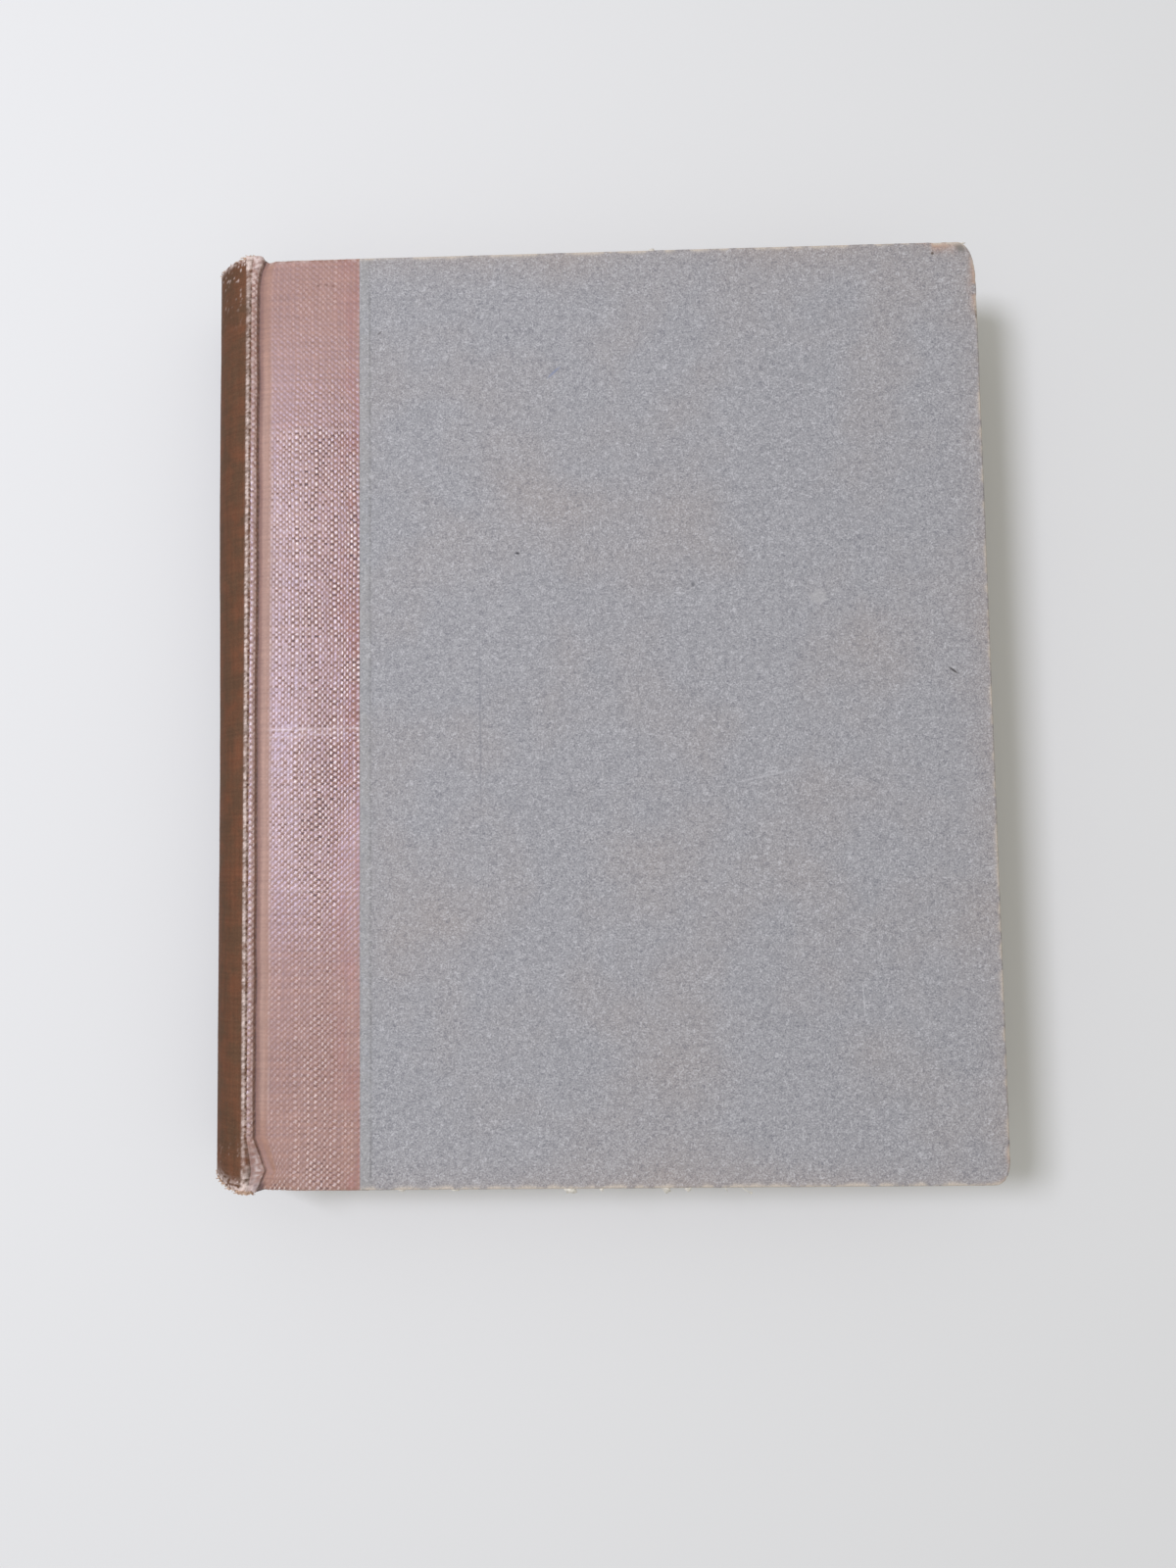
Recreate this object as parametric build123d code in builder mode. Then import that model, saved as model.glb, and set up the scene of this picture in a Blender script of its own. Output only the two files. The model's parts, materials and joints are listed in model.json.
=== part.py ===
"""Quarter-bound hardback book, closed and lying on its back cover.

A cloth spine, rounded and backed, with paper sides on strawboard covers. Millimetres.
+X runs from the spine to the fore-edge, +Y from tail to head and +Z from the back cover
to the front cover. The origin is under the middle of the book, on the surface it lies on.
"""
import os
from math import atan2, degrees, sqrt

from build123d import *

# Closed book
cover_height = 222.0        # covers, tail to head
cover_width = 173.2         # hinge line to fore-edge
book_thickness = 30.0       # outside of the back cover to outside of the front cover
spine_bulge = 12.7          # hinge line to the crown of the rounded spine

# Pages
square_head = 3.0           # cover standing past the pages at head and tail
square_fore = 3.0           # cover standing past the pages at the fore-edge
fore_edge_hollow = 5.0      # depth of the concave fore-edge

# Sheets and boards
board_thickness = 2.6       # with its cloth and turn-ins pressed into it
paper_thickness = 0.25      # paper side
cloth_thickness = 0.45      # book cloth
pastedown_thickness = 0.2
inlay_thickness = 0.5       # card that stiffens the spine
lining_thickness = 0.4      # mull and paper glued to the back of the pages

# Covers
cloth_width = 24.4          # cloth left to see, hinge line to the edge of the paper
paper_lap = 2.3             # paper lying over the edge of the cloth
turn_in = 15.0              # cloth and paper folded round on to the inside of a board
board_edge = 0.3            # rounding of the board's arrises
head_corner_wear = 4.5      # worn rounding of the fore-edge corner at the head
tail_corner_wear = 3.0      # worn rounding of the fore-edge corner at the tail
head_nip_width = 1.5        # hinge corner of the board, cut back at the head
head_nip_length = 4.0
tail_nip_width = 3.0        # hinge corner of the board, cut back at the tail
tail_nip_length = 10.0
pastedown_margin = 0.9      # board left bare beside the pastedown at the hinge

# Joint and rounded back
groove_width = 1.4          # clear width of the joint groove between ridge and board
ridge_width = 2.8           # hinge line to the crease beside the ridge
ridge_drop = 0.4            # ridge below the outside of the cover
ridge_round = 0.9           # rounding of the ridge's edge at the groove
inlay_margin = 0.8          # from the crease of the ridge to the edge of the card
hollow_depth = 0.5          # open back between the card and the lining

# Places worked out from the sizes above
hinge_x = (spine_bulge - cover_width) / 2
cover_stack = paper_thickness + board_thickness + pastedown_thickness
inner_z = book_thickness - paper_thickness - board_thickness    # inside face of the front board
paper_z = book_thickness - paper_thickness                      # board face under the paper
cloth_edge = cloth_width + paper_lap
cloth_height = cover_height - 2 * paper_thickness               # the cloth lies under the paper
page_height = cover_height - 2 * square_head
page_fore = cover_width - square_fore
page_half = book_thickness / 2 - cover_stack

# The back is one arc through both creases and the crown
crest = book_thickness / 2 - ridge_drop
back_sagitta = spine_bulge - ridge_width
back_radius = (crest**2 + back_sagitta**2) / (2 * back_sagitta)
back_centre = back_radius - spine_bulge

# Layers of the back, as depths in from the outside of the cloth
inlay_depth = cloth_thickness + inlay_thickness
fold_depth = inlay_depth + cloth_thickness
lining_top = inlay_depth + hollow_depth
lining_depth = lining_top + lining_thickness

# Section across the book: x from the hinge line, y from the middle of the thickness
section = Plane(origin=(hinge_x, 0, book_thickness / 2), x_dir=(1, 0, 0), z_dir=(0, -1, 0))


def crease_at(depth):
    return back_centre - sqrt((back_radius - depth) ** 2 - (crest - depth) ** 2)


# The card and the lining stop short of the ridges
stack_angle = degrees(
    atan2(crest - cloth_thickness, back_centre - crease_at(cloth_thickness))
    - inlay_margin / back_radius
)


def back_outline(depth, mode=Mode.ADD):
    # D-shaped section of the rounded back with its two ridges, set in by a depth
    flank = -groove_width / 2 - depth
    level = crest - depth
    crease = crease_at(depth)
    crown = depth - spine_bulge
    with BuildSketch(mode=Mode.PRIVATE) as outline:
        with BuildLine():
            Polyline((crease, -level), (flank, -level), (flank, level), (crease, level))
            ThreePointArc((crease, level), (crown, 0), (crease, -level))
        make_face()
        fillet(outline.vertices().group_by(Axis.X)[-1], ridge_round - depth)
    add(outline.sketch, mode=mode)


def back_band(outer_depth, inner_depth, mode=Mode.ADD):
    # Curved strip of the back between two depths
    outer_radius = back_radius - outer_depth
    inner_radius = back_radius - inner_depth
    start = 180 - stack_angle
    with BuildSketch(mode=Mode.PRIVATE) as band:
        with BuildLine():
            outer = CenterArc((back_centre, 0), outer_radius, start, 2 * stack_angle)
            inner = CenterArc((back_centre, 0), inner_radius, start, 2 * stack_angle)
            Line(outer @ 0, inner @ 0)
            Line(outer @ 1, inner @ 1)
        make_face()
    add(band.sketch, mode=mode)


def cloth_outline(depth):
    # Plan of the cloth on a cover, with its hinge corners cut back, set in by a depth
    near = hinge_x + groove_width / 2
    far = hinge_x + cloth_edge + depth
    top = cloth_height / 2
    with BuildSketch(mode=Mode.PRIVATE) as outline:
        with BuildLine():
            Polyline(
                (far, -top),
                (near + tail_nip_width, -top),
                (near, -top + tail_nip_length),
                (near, top - head_nip_length),
                (near + head_nip_width, top),
                (far, top),
                close=True,
            )
        make_face()
        if depth > 0:
            offset(amount=-depth, kind=Kind.INTERSECTION)
    add(outline.sketch)


def paper_outline(near, depth):
    # Plan of a paper side from a given distance off the hinge, with worn corners
    left = hinge_x + near
    right = hinge_x + cover_width - depth
    top = cover_height / 2 - depth
    with BuildSketch(mode=Mode.PRIVATE) as outline:
        with BuildLine():
            Polyline((left, -top), (right, -top), (right, top), (left, top), close=True)
        make_face()
        corners = outline.vertices().group_by(Axis.X)[-1].sort_by(Axis.Y)
        fillet(corners[0], tail_corner_wear - depth)
        fillet(corners[-1], head_corner_wear - depth)
    add(outline.sketch)


# Text block: the sewn pages as one solid, with flared shoulders and a hollow fore-edge
with BuildPart() as text_block:
    with BuildSketch(section):
        back_outline(cloth_thickness)
        with BuildLine():
            Polyline(
                (page_fore, page_half),
                (-ridge_width, page_half),
                (-ridge_width, -page_half),
                (page_fore, -page_half),
            )
            ThreePointArc(
                (page_fore, -page_half),
                (page_fore - fore_edge_hollow, 0),
                (page_fore, page_half),
            )
        make_face()
        back_band(cloth_thickness, lining_depth, mode=Mode.SUBTRACT)
    extrude(amount=page_height / 2, both=True)
text_block.part.label = "text_block"

# Spine lining: mull and paper glued round the back of the pages
with BuildPart() as spine_lining:
    with BuildSketch(section):
        back_band(lining_top, lining_depth)
    extrude(amount=page_height / 2, both=True)
spine_lining.part.label = "spine_lining"

# Spine inlay: the card glued inside the cloth, free of the lining
with BuildPart() as spine_inlay:
    with BuildSketch(section):
        back_band(cloth_thickness, inlay_depth)
    extrude(amount=cloth_height / 2 - cloth_thickness, both=True)
spine_inlay.part.label = "spine_inlay"

# Spine cloth: over the back and both ridges, down into the grooves, folded in at head and tail
with BuildPart() as spine_cloth:
    with BuildSketch(section):
        back_outline(0)
        back_outline(cloth_thickness, mode=Mode.SUBTRACT)
        with Locations((-groove_width / 2, 0)):
            Rectangle(2 * cloth_thickness, 2 * page_half, mode=Mode.SUBTRACT)
    extrude(amount=cloth_height / 2, both=True)
    for end in (-1, 1):
        with BuildSketch(section.offset(end * cloth_height / 2)):
            back_band(cloth_thickness, fold_depth)
        extrude(amount=-end * cloth_thickness)
        with BuildSketch(section.offset(end * cloth_height / 2)):
            back_band(inlay_depth, fold_depth)
        extrude(amount=-end * turn_in)
spine_cloth.part.label = "spine_cloth"

# Front board: strawboard with seats pressed into it for the cloth and the turn-ins
cloth_z = paper_z - cloth_thickness
with BuildPart() as front_board:
    with BuildSketch(Plane.XY.offset(inner_z)):
        paper_outline(cloth_edge, paper_thickness)
    extrude(amount=paper_z - inner_z)
    long_edges = edges().group_by(Axis.Z)[-1].sort_by(Axis.X)[1:]
    fillet(long_edges + edges().group_by(Axis.Z)[0].sort_by(Axis.X)[1:], board_edge)
    with BuildSketch(Plane.XY.offset(inner_z)):
        cloth_outline(cloth_thickness)
    extrude(amount=cloth_z - inner_z)
    with BuildSketch(Plane.XY.offset(inner_z)):
        with Locations((hinge_x + (cloth_edge + cover_width) / 2, 0)):
            Rectangle(cover_width - cloth_edge, cover_height)
        with Locations((hinge_x + (cloth_edge + cover_width - turn_in) / 2, 0)):
            Rectangle(cover_width - turn_in - cloth_edge, cover_height - 2 * turn_in, mode=Mode.SUBTRACT)
    extrude(amount=paper_thickness, mode=Mode.SUBTRACT)
    with BuildSketch(Plane.XY.offset(inner_z)):
        with Locations((hinge_x + cloth_edge / 2, 0)):
            Rectangle(cloth_edge, cover_height)
            Rectangle(cloth_edge, cover_height - 2 * turn_in, mode=Mode.SUBTRACT)
    extrude(amount=cloth_thickness, mode=Mode.SUBTRACT)
front_board.part.label = "front_board"

# Front cloth: quarter cloth over the board, wrapped round its hinge, head and tail edges
with BuildPart() as front_cloth:
    with BuildSketch(Plane.XY.offset(inner_z)):
        cloth_outline(0)
    extrude(amount=paper_z - inner_z)
    fillet(edges().group_by(Axis.Z)[-1].sort_by(Axis.X)[:-1], board_edge + cloth_thickness)
    add(front_board.part, mode=Mode.SUBTRACT)
front_cloth.part.label = "front_cloth"

# Front paper side: laps over the cloth and is turned in at head, fore-edge and tail
with BuildPart() as front_paper_side:
    with BuildSketch(Plane.XY.offset(inner_z)):
        paper_outline(cloth_width, 0)
    extrude(amount=book_thickness - inner_z)
    long_edges = edges().group_by(Axis.Z)[-1].sort_by(Axis.X)[1:]
    fillet(
        long_edges + edges().group_by(Axis.Z)[0].sort_by(Axis.X)[1:],
        board_edge + paper_thickness,
    )
    add(front_board.part, mode=Mode.SUBTRACT)
    add(front_cloth.part, mode=Mode.SUBTRACT)
front_paper_side.part.label = "front_paper_side"

# Front pastedown: half of the folded endpaper, glued to the inside of the board
with BuildPart() as front_pastedown:
    pastedown_near = groove_width / 2 + cloth_thickness + pastedown_margin
    with BuildSketch(Plane.XY.offset(inner_z)):
        with Locations((hinge_x + (pastedown_near + page_fore) / 2, 0)):
            Rectangle(page_fore - pastedown_near, page_height)
    extrude(amount=-pastedown_thickness)
front_pastedown.part.label = "front_pastedown"

# The back cover is the front cover mirrored through the middle of the thickness
middle = Plane.XY.offset(book_thickness / 2)
with BuildPart() as back_board:
    mirror(front_board.part, about=middle)
back_board.part.label = "back_board"

with BuildPart() as back_cloth:
    mirror(front_cloth.part, about=middle)
back_cloth.part.label = "back_cloth"

with BuildPart() as back_paper_side:
    mirror(front_paper_side.part, about=middle)
back_paper_side.part.label = "back_paper_side"

with BuildPart() as back_pastedown:
    mirror(front_pastedown.part, about=middle)
back_pastedown.part.label = "back_pastedown"

pieces = (
    text_block,
    spine_lining,
    spine_inlay,
    spine_cloth,
    front_board,
    front_cloth,
    front_paper_side,
    front_pastedown,
    back_board,
    back_cloth,
    back_paper_side,
    back_pastedown,
)
os.makedirs("parts", exist_ok=True)
for piece in pieces:
    export_step(piece.part, f"parts/{piece.part.label}.step")
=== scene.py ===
# Quarter-bound hardback book: cloth, cover paper, pages and wear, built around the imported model
import json
import math
from functools import partial

import bpy
import numpy as np
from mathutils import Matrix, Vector
from mathutils.geometry import delaunay_2d_cdt


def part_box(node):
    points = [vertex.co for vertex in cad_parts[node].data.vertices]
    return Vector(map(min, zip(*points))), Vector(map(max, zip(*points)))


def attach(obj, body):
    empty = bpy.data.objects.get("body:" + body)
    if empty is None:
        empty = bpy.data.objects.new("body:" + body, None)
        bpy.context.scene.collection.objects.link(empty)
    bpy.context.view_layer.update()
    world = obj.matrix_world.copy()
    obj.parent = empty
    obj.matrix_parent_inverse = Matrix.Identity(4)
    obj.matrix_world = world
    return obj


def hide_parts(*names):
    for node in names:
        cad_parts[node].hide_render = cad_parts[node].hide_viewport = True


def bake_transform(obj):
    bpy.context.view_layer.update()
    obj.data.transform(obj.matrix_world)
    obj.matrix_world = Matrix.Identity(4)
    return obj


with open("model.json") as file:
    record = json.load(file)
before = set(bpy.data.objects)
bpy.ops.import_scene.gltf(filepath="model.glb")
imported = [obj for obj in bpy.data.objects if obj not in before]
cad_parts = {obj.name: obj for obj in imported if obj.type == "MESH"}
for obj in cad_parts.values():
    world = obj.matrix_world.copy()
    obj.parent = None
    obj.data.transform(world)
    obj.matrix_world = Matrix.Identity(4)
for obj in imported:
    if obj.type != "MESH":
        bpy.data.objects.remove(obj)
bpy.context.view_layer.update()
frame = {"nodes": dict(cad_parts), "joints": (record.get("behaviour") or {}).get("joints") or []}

mm = 0.001
print("frame loaded:", len(frame["nodes"]), "nodes")


def hexColour(text):
    channels = [int(text[i:i + 2], 16) / 255 for i in (1, 3, 5)]
    linear = [c / 12.92 if c <= 0.04045 else ((c + 0.055) / 1.055) ** 2.4 for c in channels]
    return (*linear, 1.0)


# one node with its settings; an input takes a plain value or another node's output
# gives back the output that is asked for, or the node itself
def addNode(owner, kind, inputs, output=0, **settings):
    node = owner.node_tree.nodes.new("ShaderNode" + kind)
    for key, value in settings.items():
        setattr(node, key, value)
    for key, value in inputs.items() if isinstance(inputs, dict) else enumerate(inputs):
        if isinstance(value, bpy.types.NodeSocket):
            owner.node_tree.links.new(value, node.inputs[key])
        else:
            node.inputs[key].default_value = value
    return node if output is None else node.outputs[output]


# an empty material, and addNode for it
def newMaterial(name):
    material = bpy.data.materials.new(name)
    material.use_nodes = True
    material.node_tree.nodes.clear()
    return material, partial(addNode, material)


def finishMaterial(material, shader):
    addNode(material, "OutputMaterial", {"Surface": shader}, None)
    return material


# smooth random field from -1 to 1, one lattice cell to each unit of x and y
def softNoise(x, y, seed):
    size = 128
    table = np.random.default_rng(seed).random((size, size)) * 2 - 1
    x, y = np.broadcast_arrays(np.asarray(x, float), np.asarray(y, float))
    column = np.floor(x).astype(int)
    row = np.floor(y).astype(int)
    across = x - column
    along = y - row
    across = across * across * (3 - 2 * across)
    along = along * along * (3 - 2 * along)
    near = table[column % size, row % size] * (1 - across) + table[(column + 1) % size, row % size] * across
    far = table[column % size, (row + 1) % size] * (1 - across)
    far = far + table[(column + 1) % size, (row + 1) % size] * across
    return near * (1 - along) + far * along


def ramp(value, low, high):
    share = np.clip((np.asarray(value, float) - low) / (high - low), 0, 1)
    return share * share * (3 - 2 * share)


# rises between the first two limits and falls between the last two
def band(value, start, full, hold, stop):
    return ramp(value, start, full) * (1 - ramp(value, hold, stop))


# bell curve, 1 at the middle
def bell(value, middle, width):
    return np.exp(-((value - middle) / width) ** 2)


# a mesh object from points in millimetres, with an optional map of thread counts and named values per point
def makeMesh(name, points, faces, threads=None, fields=None):
    mesh = bpy.data.meshes.new(name)
    mesh.from_pydata((np.asarray(points) * mm).tolist(), [], faces)
    mesh.shade_smooth()
    if threads is not None:
        corners = np.empty(len(mesh.loops), np.int32)
        mesh.loops.foreach_get("vertex_index", corners)
        layer = mesh.uv_layers.new(name="threads")
        layer.data.foreach_set("uv", np.asarray(threads, np.float32)[corners].ravel())
    for key, values in (fields or {}).items():
        field = mesh.attributes.new(key, "FLOAT", "POINT")
        field.data.foreach_set("value", np.asarray(values, np.float32).ravel())
    piece = bpy.data.objects.new(name, mesh)
    bpy.context.scene.collection.objects.link(piece)
    return piece


def gridFaces(rows, columns, first=0):
    index = np.arange(rows * columns).reshape(rows, columns) + first
    quads = np.stack([index[:-1, :-1], index[:-1, 1:], index[1:, 1:], index[1:, :-1]], -1)
    return quads.reshape(-1, 4).tolist()


# sides and both ends of a tube of rings, each with the same count of points
def tubeFaces(first, rings, count):
    faces = []
    for ring in range(rings - 1):
        here = first + ring * count
        there = here + count
        for i in range(count):
            following = (i + 1) % count
            faces.append([here + i, here + following, there + following, there + i])
    last = first + (rings - 1) * count
    faces.append([first + i for i in range(count)][::-1])
    faces.append([last + i for i in range(count)])
    return faces


def boxMm(node):
    low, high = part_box(node)
    return [v / mm for v in low], [v / mm for v in high]


# shared sizes in millimetres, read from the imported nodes
paperLow, paperHigh = boxMm("front_paper_side")
clothHigh = boxMm("front_cloth")[1]
spineLow, spineHigh = boxMm("spine_cloth")
boardLow = boxMm("front_board")[0]
pasteLow, pasteHigh = boxMm("front_pastedown")
pageHigh = boxMm("text_block")[1]
hingeX = frame["joints"][0]["pos_m"][0] / mm
midZ = (spineLow[2] + spineHigh[2]) / 2
clothHalf = paperHigh[1] + 0.1      # cloth turned over the ends of the boards, level with the paper
paperHalf = paperHigh[1]
pageHalf = pageHigh[1]
paperThickness = paperHigh[2] - clothHigh[2]
coverThickness = paperHigh[2] - boardLow[2]

# cloth section and weave, in millimetres; u is the distance from the hinge, pairs are a distance and a value
cloth = {
    "threadAcross": 0.77,
    "threadAlong": 0.73,
    "samplesPerThread": 3,
    "relief": 0.11,
    "twist": (0.07, -0.0022, -38),
    "floatWeight": 1.35,
    "boardBow": (0.28, 17.0),
    "jointHalf": 0.7,
    "ridgeWidth": 2.8,
    "ridgeCrown": 0.22,
    "ridgeRound": 0.45,
    "ridgeFoot": 0.1,
    "creaseRound": 0.28,
    "bandSlope": 0.34,
    "bandWidth": 3.0,
    "boardRound": 0.7,
    "splitFromHinge": 4.0,
    "rubbedBand": 3.4,
    "spineStack": 0.95,
    "capRound": 0.47,
    "edgeRound": 0.55,
    "turnIn": (1, 3, 6, 10, 15),
    "coarseZone": (-42, 69),
    "tailNip": ((0, 0.9), (4.6, 2.9), (12, 0)),
    "headNip": ((0, 1.3), (2.5, 0.4), (6, 0)),
    "tailFill": ((0, 0.05), (2.2, 0.35), (4.6, 0.55), (9, 0.15), (12, 0)),
    "slubs": ((-4.2, 1.0), (-5.6, 0.6), (68.2, 0.35), (-42.5, 0.3), (44.0, 0.2)),
    "nicks": ((14.7, 104.4), (16.6, 104.5), (18.3, 104.2)),
    "tailFade": ((-26, 0.74), (-8, 0.74), (4, 0.88), (14, 1)),      # from the tail end of the coarse zone
    "headFade": ((-1, 1), (1, 0.7), (14, 0.52), (40, 0.5)),
    "nipAlong": ((0, 0.3), (1.5, 0.6), (3, 1), (8, 1), (11, 0)),
    "tailEnd": ((0, 1), (9, 1), (13, 0)),
    "lumpAlong": ((1.5, 0), (3.5, 1), (7, 1), (10, 0)),
    "grooveBand": (-2.7, -0.2, 0.9, 8),      # start, full, still full and end in u
    "nipBand": (-2.2, -1.5, -0.75, -0.35),
    "ridgeBand": (-3.3, -2.7, -0.6, 0.3),
    "hatchBand": (-1.5, -0.5, 0.0, 0.3),
    "cornerBand": (0.0, 1.0, 3, 14),
    "headBulge": 0.6,
    "headCap": 1.0,
    "tailCap": (-1.9, 0.4),
}
crest = spineHigh[2] - midZ
bulge = hingeX - spineLow[0]
boardTop = clothHigh[2] - midZ
sagitta = bulge - cloth["ridgeWidth"]
backRadius = (sagitta ** 2 + crest ** 2) / (2 * sagitta)
backSweep = math.asin(crest / backRadius)
clothReach = clothHigh[0] - hingeX
crown = cloth["ridgeCrown"]
ridgeFlat = cloth["ridgeWidth"] - cloth["ridgeFoot"] - cloth["ridgeRound"]
bandRise = cloth["bandWidth"] * math.sin(cloth["bandSlope"])
bandRise += (cloth["boardRound"] + cloth["creaseRound"]) * (1 - math.cos(cloth["bandSlope"]))
flank = crest - cloth["ridgeRound"] - cloth["creaseRound"] - boardTop + bandRise

# half section of the cloth, from the crown of the spine to its edge under the paper: length and turn of a run
sectionRuns = [
    (backRadius * backSweep, -backSweep),
    (0, backSweep - math.pi / 2 + crown),
    (ridgeFlat, -2 * crown),
    (cloth["ridgeRound"] * (math.pi / 2 - crown), crown - math.pi / 2),
    (flank, 0),
    (cloth["creaseRound"] * (math.pi / 2 + cloth["bandSlope"]), math.pi / 2 + cloth["bandSlope"]),
    (cloth["bandWidth"], 0),
    (cloth["boardRound"] * cloth["bandSlope"], -cloth["bandSlope"]),
    (clothReach - cloth["bandWidth"] - 0.4, 0),
]
creaseAt = sectionRuns[0][0]
crestMiddle = creaseAt + sectionRuns[2][0] / 2
flatStart = sum(run[0] for run in sectionRuns[:-1])


def clothSection(s):
    far = np.abs(s)
    side = np.where(s < 0, -1.0, 1.0)
    u = np.zeros_like(far)
    z = np.zeros_like(far)
    heading = np.zeros_like(far)
    start, place, facing = 0.0, (-bulge, 0.0), math.pi / 2
    for length, turn in sectionRuns:
        here = far >= start - 1e-9
        travel = far[here] - start
        if length and turn:
            bend = turn / length
            angle = facing + bend * travel
            u[here] = place[0] + (np.sin(angle) - math.sin(facing)) / bend
            z[here] = place[1] - (np.cos(angle) - math.cos(facing)) / bend
            heading[here] = angle
            end = facing + turn
            place = (place[0] + (math.sin(end) - math.sin(facing)) / bend,
                     place[1] - (math.cos(end) - math.cos(facing)) / bend)
        elif length:
            u[here] = place[0] + travel * math.cos(facing)
            z[here] = place[1] + travel * math.sin(facing)
            heading[here] = facing
            place = (place[0] + length * math.cos(facing), place[1] + length * math.sin(facing))
        facing += turn
        start += length
    return u, z * side, -np.sin(heading), np.cos(heading) * side


flatU = float(clothSection(np.array([flatStart]))[0][0])
splitAt = flatStart + cloth["splitFromHinge"] - flatU
clothEdge = flatStart + clothReach - flatU
levelOff = float(clothSection(np.array([splitAt]))[1][0]) - boardTop
print("cloth section: ridge flank", round(flank, 3), "board level off by", round(levelOff, 3))


# rows of the cloth from the turn-in at the tail, over the outside, to the turn-in at the head
def clothRows():
    quarter = np.radians([22.5, 45, 67.5, 90])
    end = [(0, math.sin(a), 1 - math.cos(a), 0, 0, a) for a in quarter]
    end += [(0, 1, 1, share, 0, math.pi / 2) for share in (1 / 3, 2 / 3, 1)]
    end += [(0, math.cos(a), 1 + math.sin(a), 1, 0, math.pi / 2 + a) for a in quarter]
    end += [(0, 0, 2, 1, run, math.pi) for run in cloth["turnIn"]]
    count = int(round(2 * clothHalf / cloth["threadAlong"] * cloth["samplesPerThread"]))
    main = [(share, 0, 0, 0, 0, 0) for share in np.linspace(-1, 1, count)]
    rows = np.array(end[::-1] + main + end)
    ends = np.array([-1.0] * len(end) + [0.0] * count + [1.0] * len(end))
    return rows, ends


rowTable, rowEnds = clothRows()


# how far a cap reaches past the boards; the tail is worn shorter toward the crown
def capReach(s, end):
    crownWear, ridgeEnd = cloth["tailCap"]
    toRidge = ramp(np.abs(s) / creaseAt, 0.35, 0.97)
    return np.where(end > 0, cloth["headCap"], crownWear + (ridgeEnd - crownWear) * toRidge)


# the back bulges a little more toward the head
def bulgeShift(u, y):
    return cloth["headBulge"] * ramp(y, -20, 60) * np.clip(-u - cloth["ridgeWidth"], 0, None) / sagitta


def clothCurve(value, name):
    return np.interp(value, *zip(*cloth[name]))


# strength of each kind of mark: pale rubbed thread and painted highlight, dirt and painted shade, lost gloss
rubAndSheenAmount = {
    "ridge": 0.34,
    "slub": 0.45,
    # painted highlight along the edge of the band
    "bandEdge": 0.15,
    "ridgeEnds": 0.7,
    "crestLine": (0.36, 0.48),
    "lump": 0.9,
    "fringe": 0.95,
    "headEdge": 0.55,
    "spots": 0.7,
    "caps": 0.8,
    "groove": 0.15,
    # painted sheen on the cover beside the hinge
    "cover": 0.16,
}
soilAndShadeAmount = {
    "crease": 0.5,
    "nip": 0.35,
    "grooveFoot": 0.42,
    "hatch": 0.3,
    "nicks": 0.7,
    "tailRidge": 0.4,
    "paintedShadeBack": 0.22,
}


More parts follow.
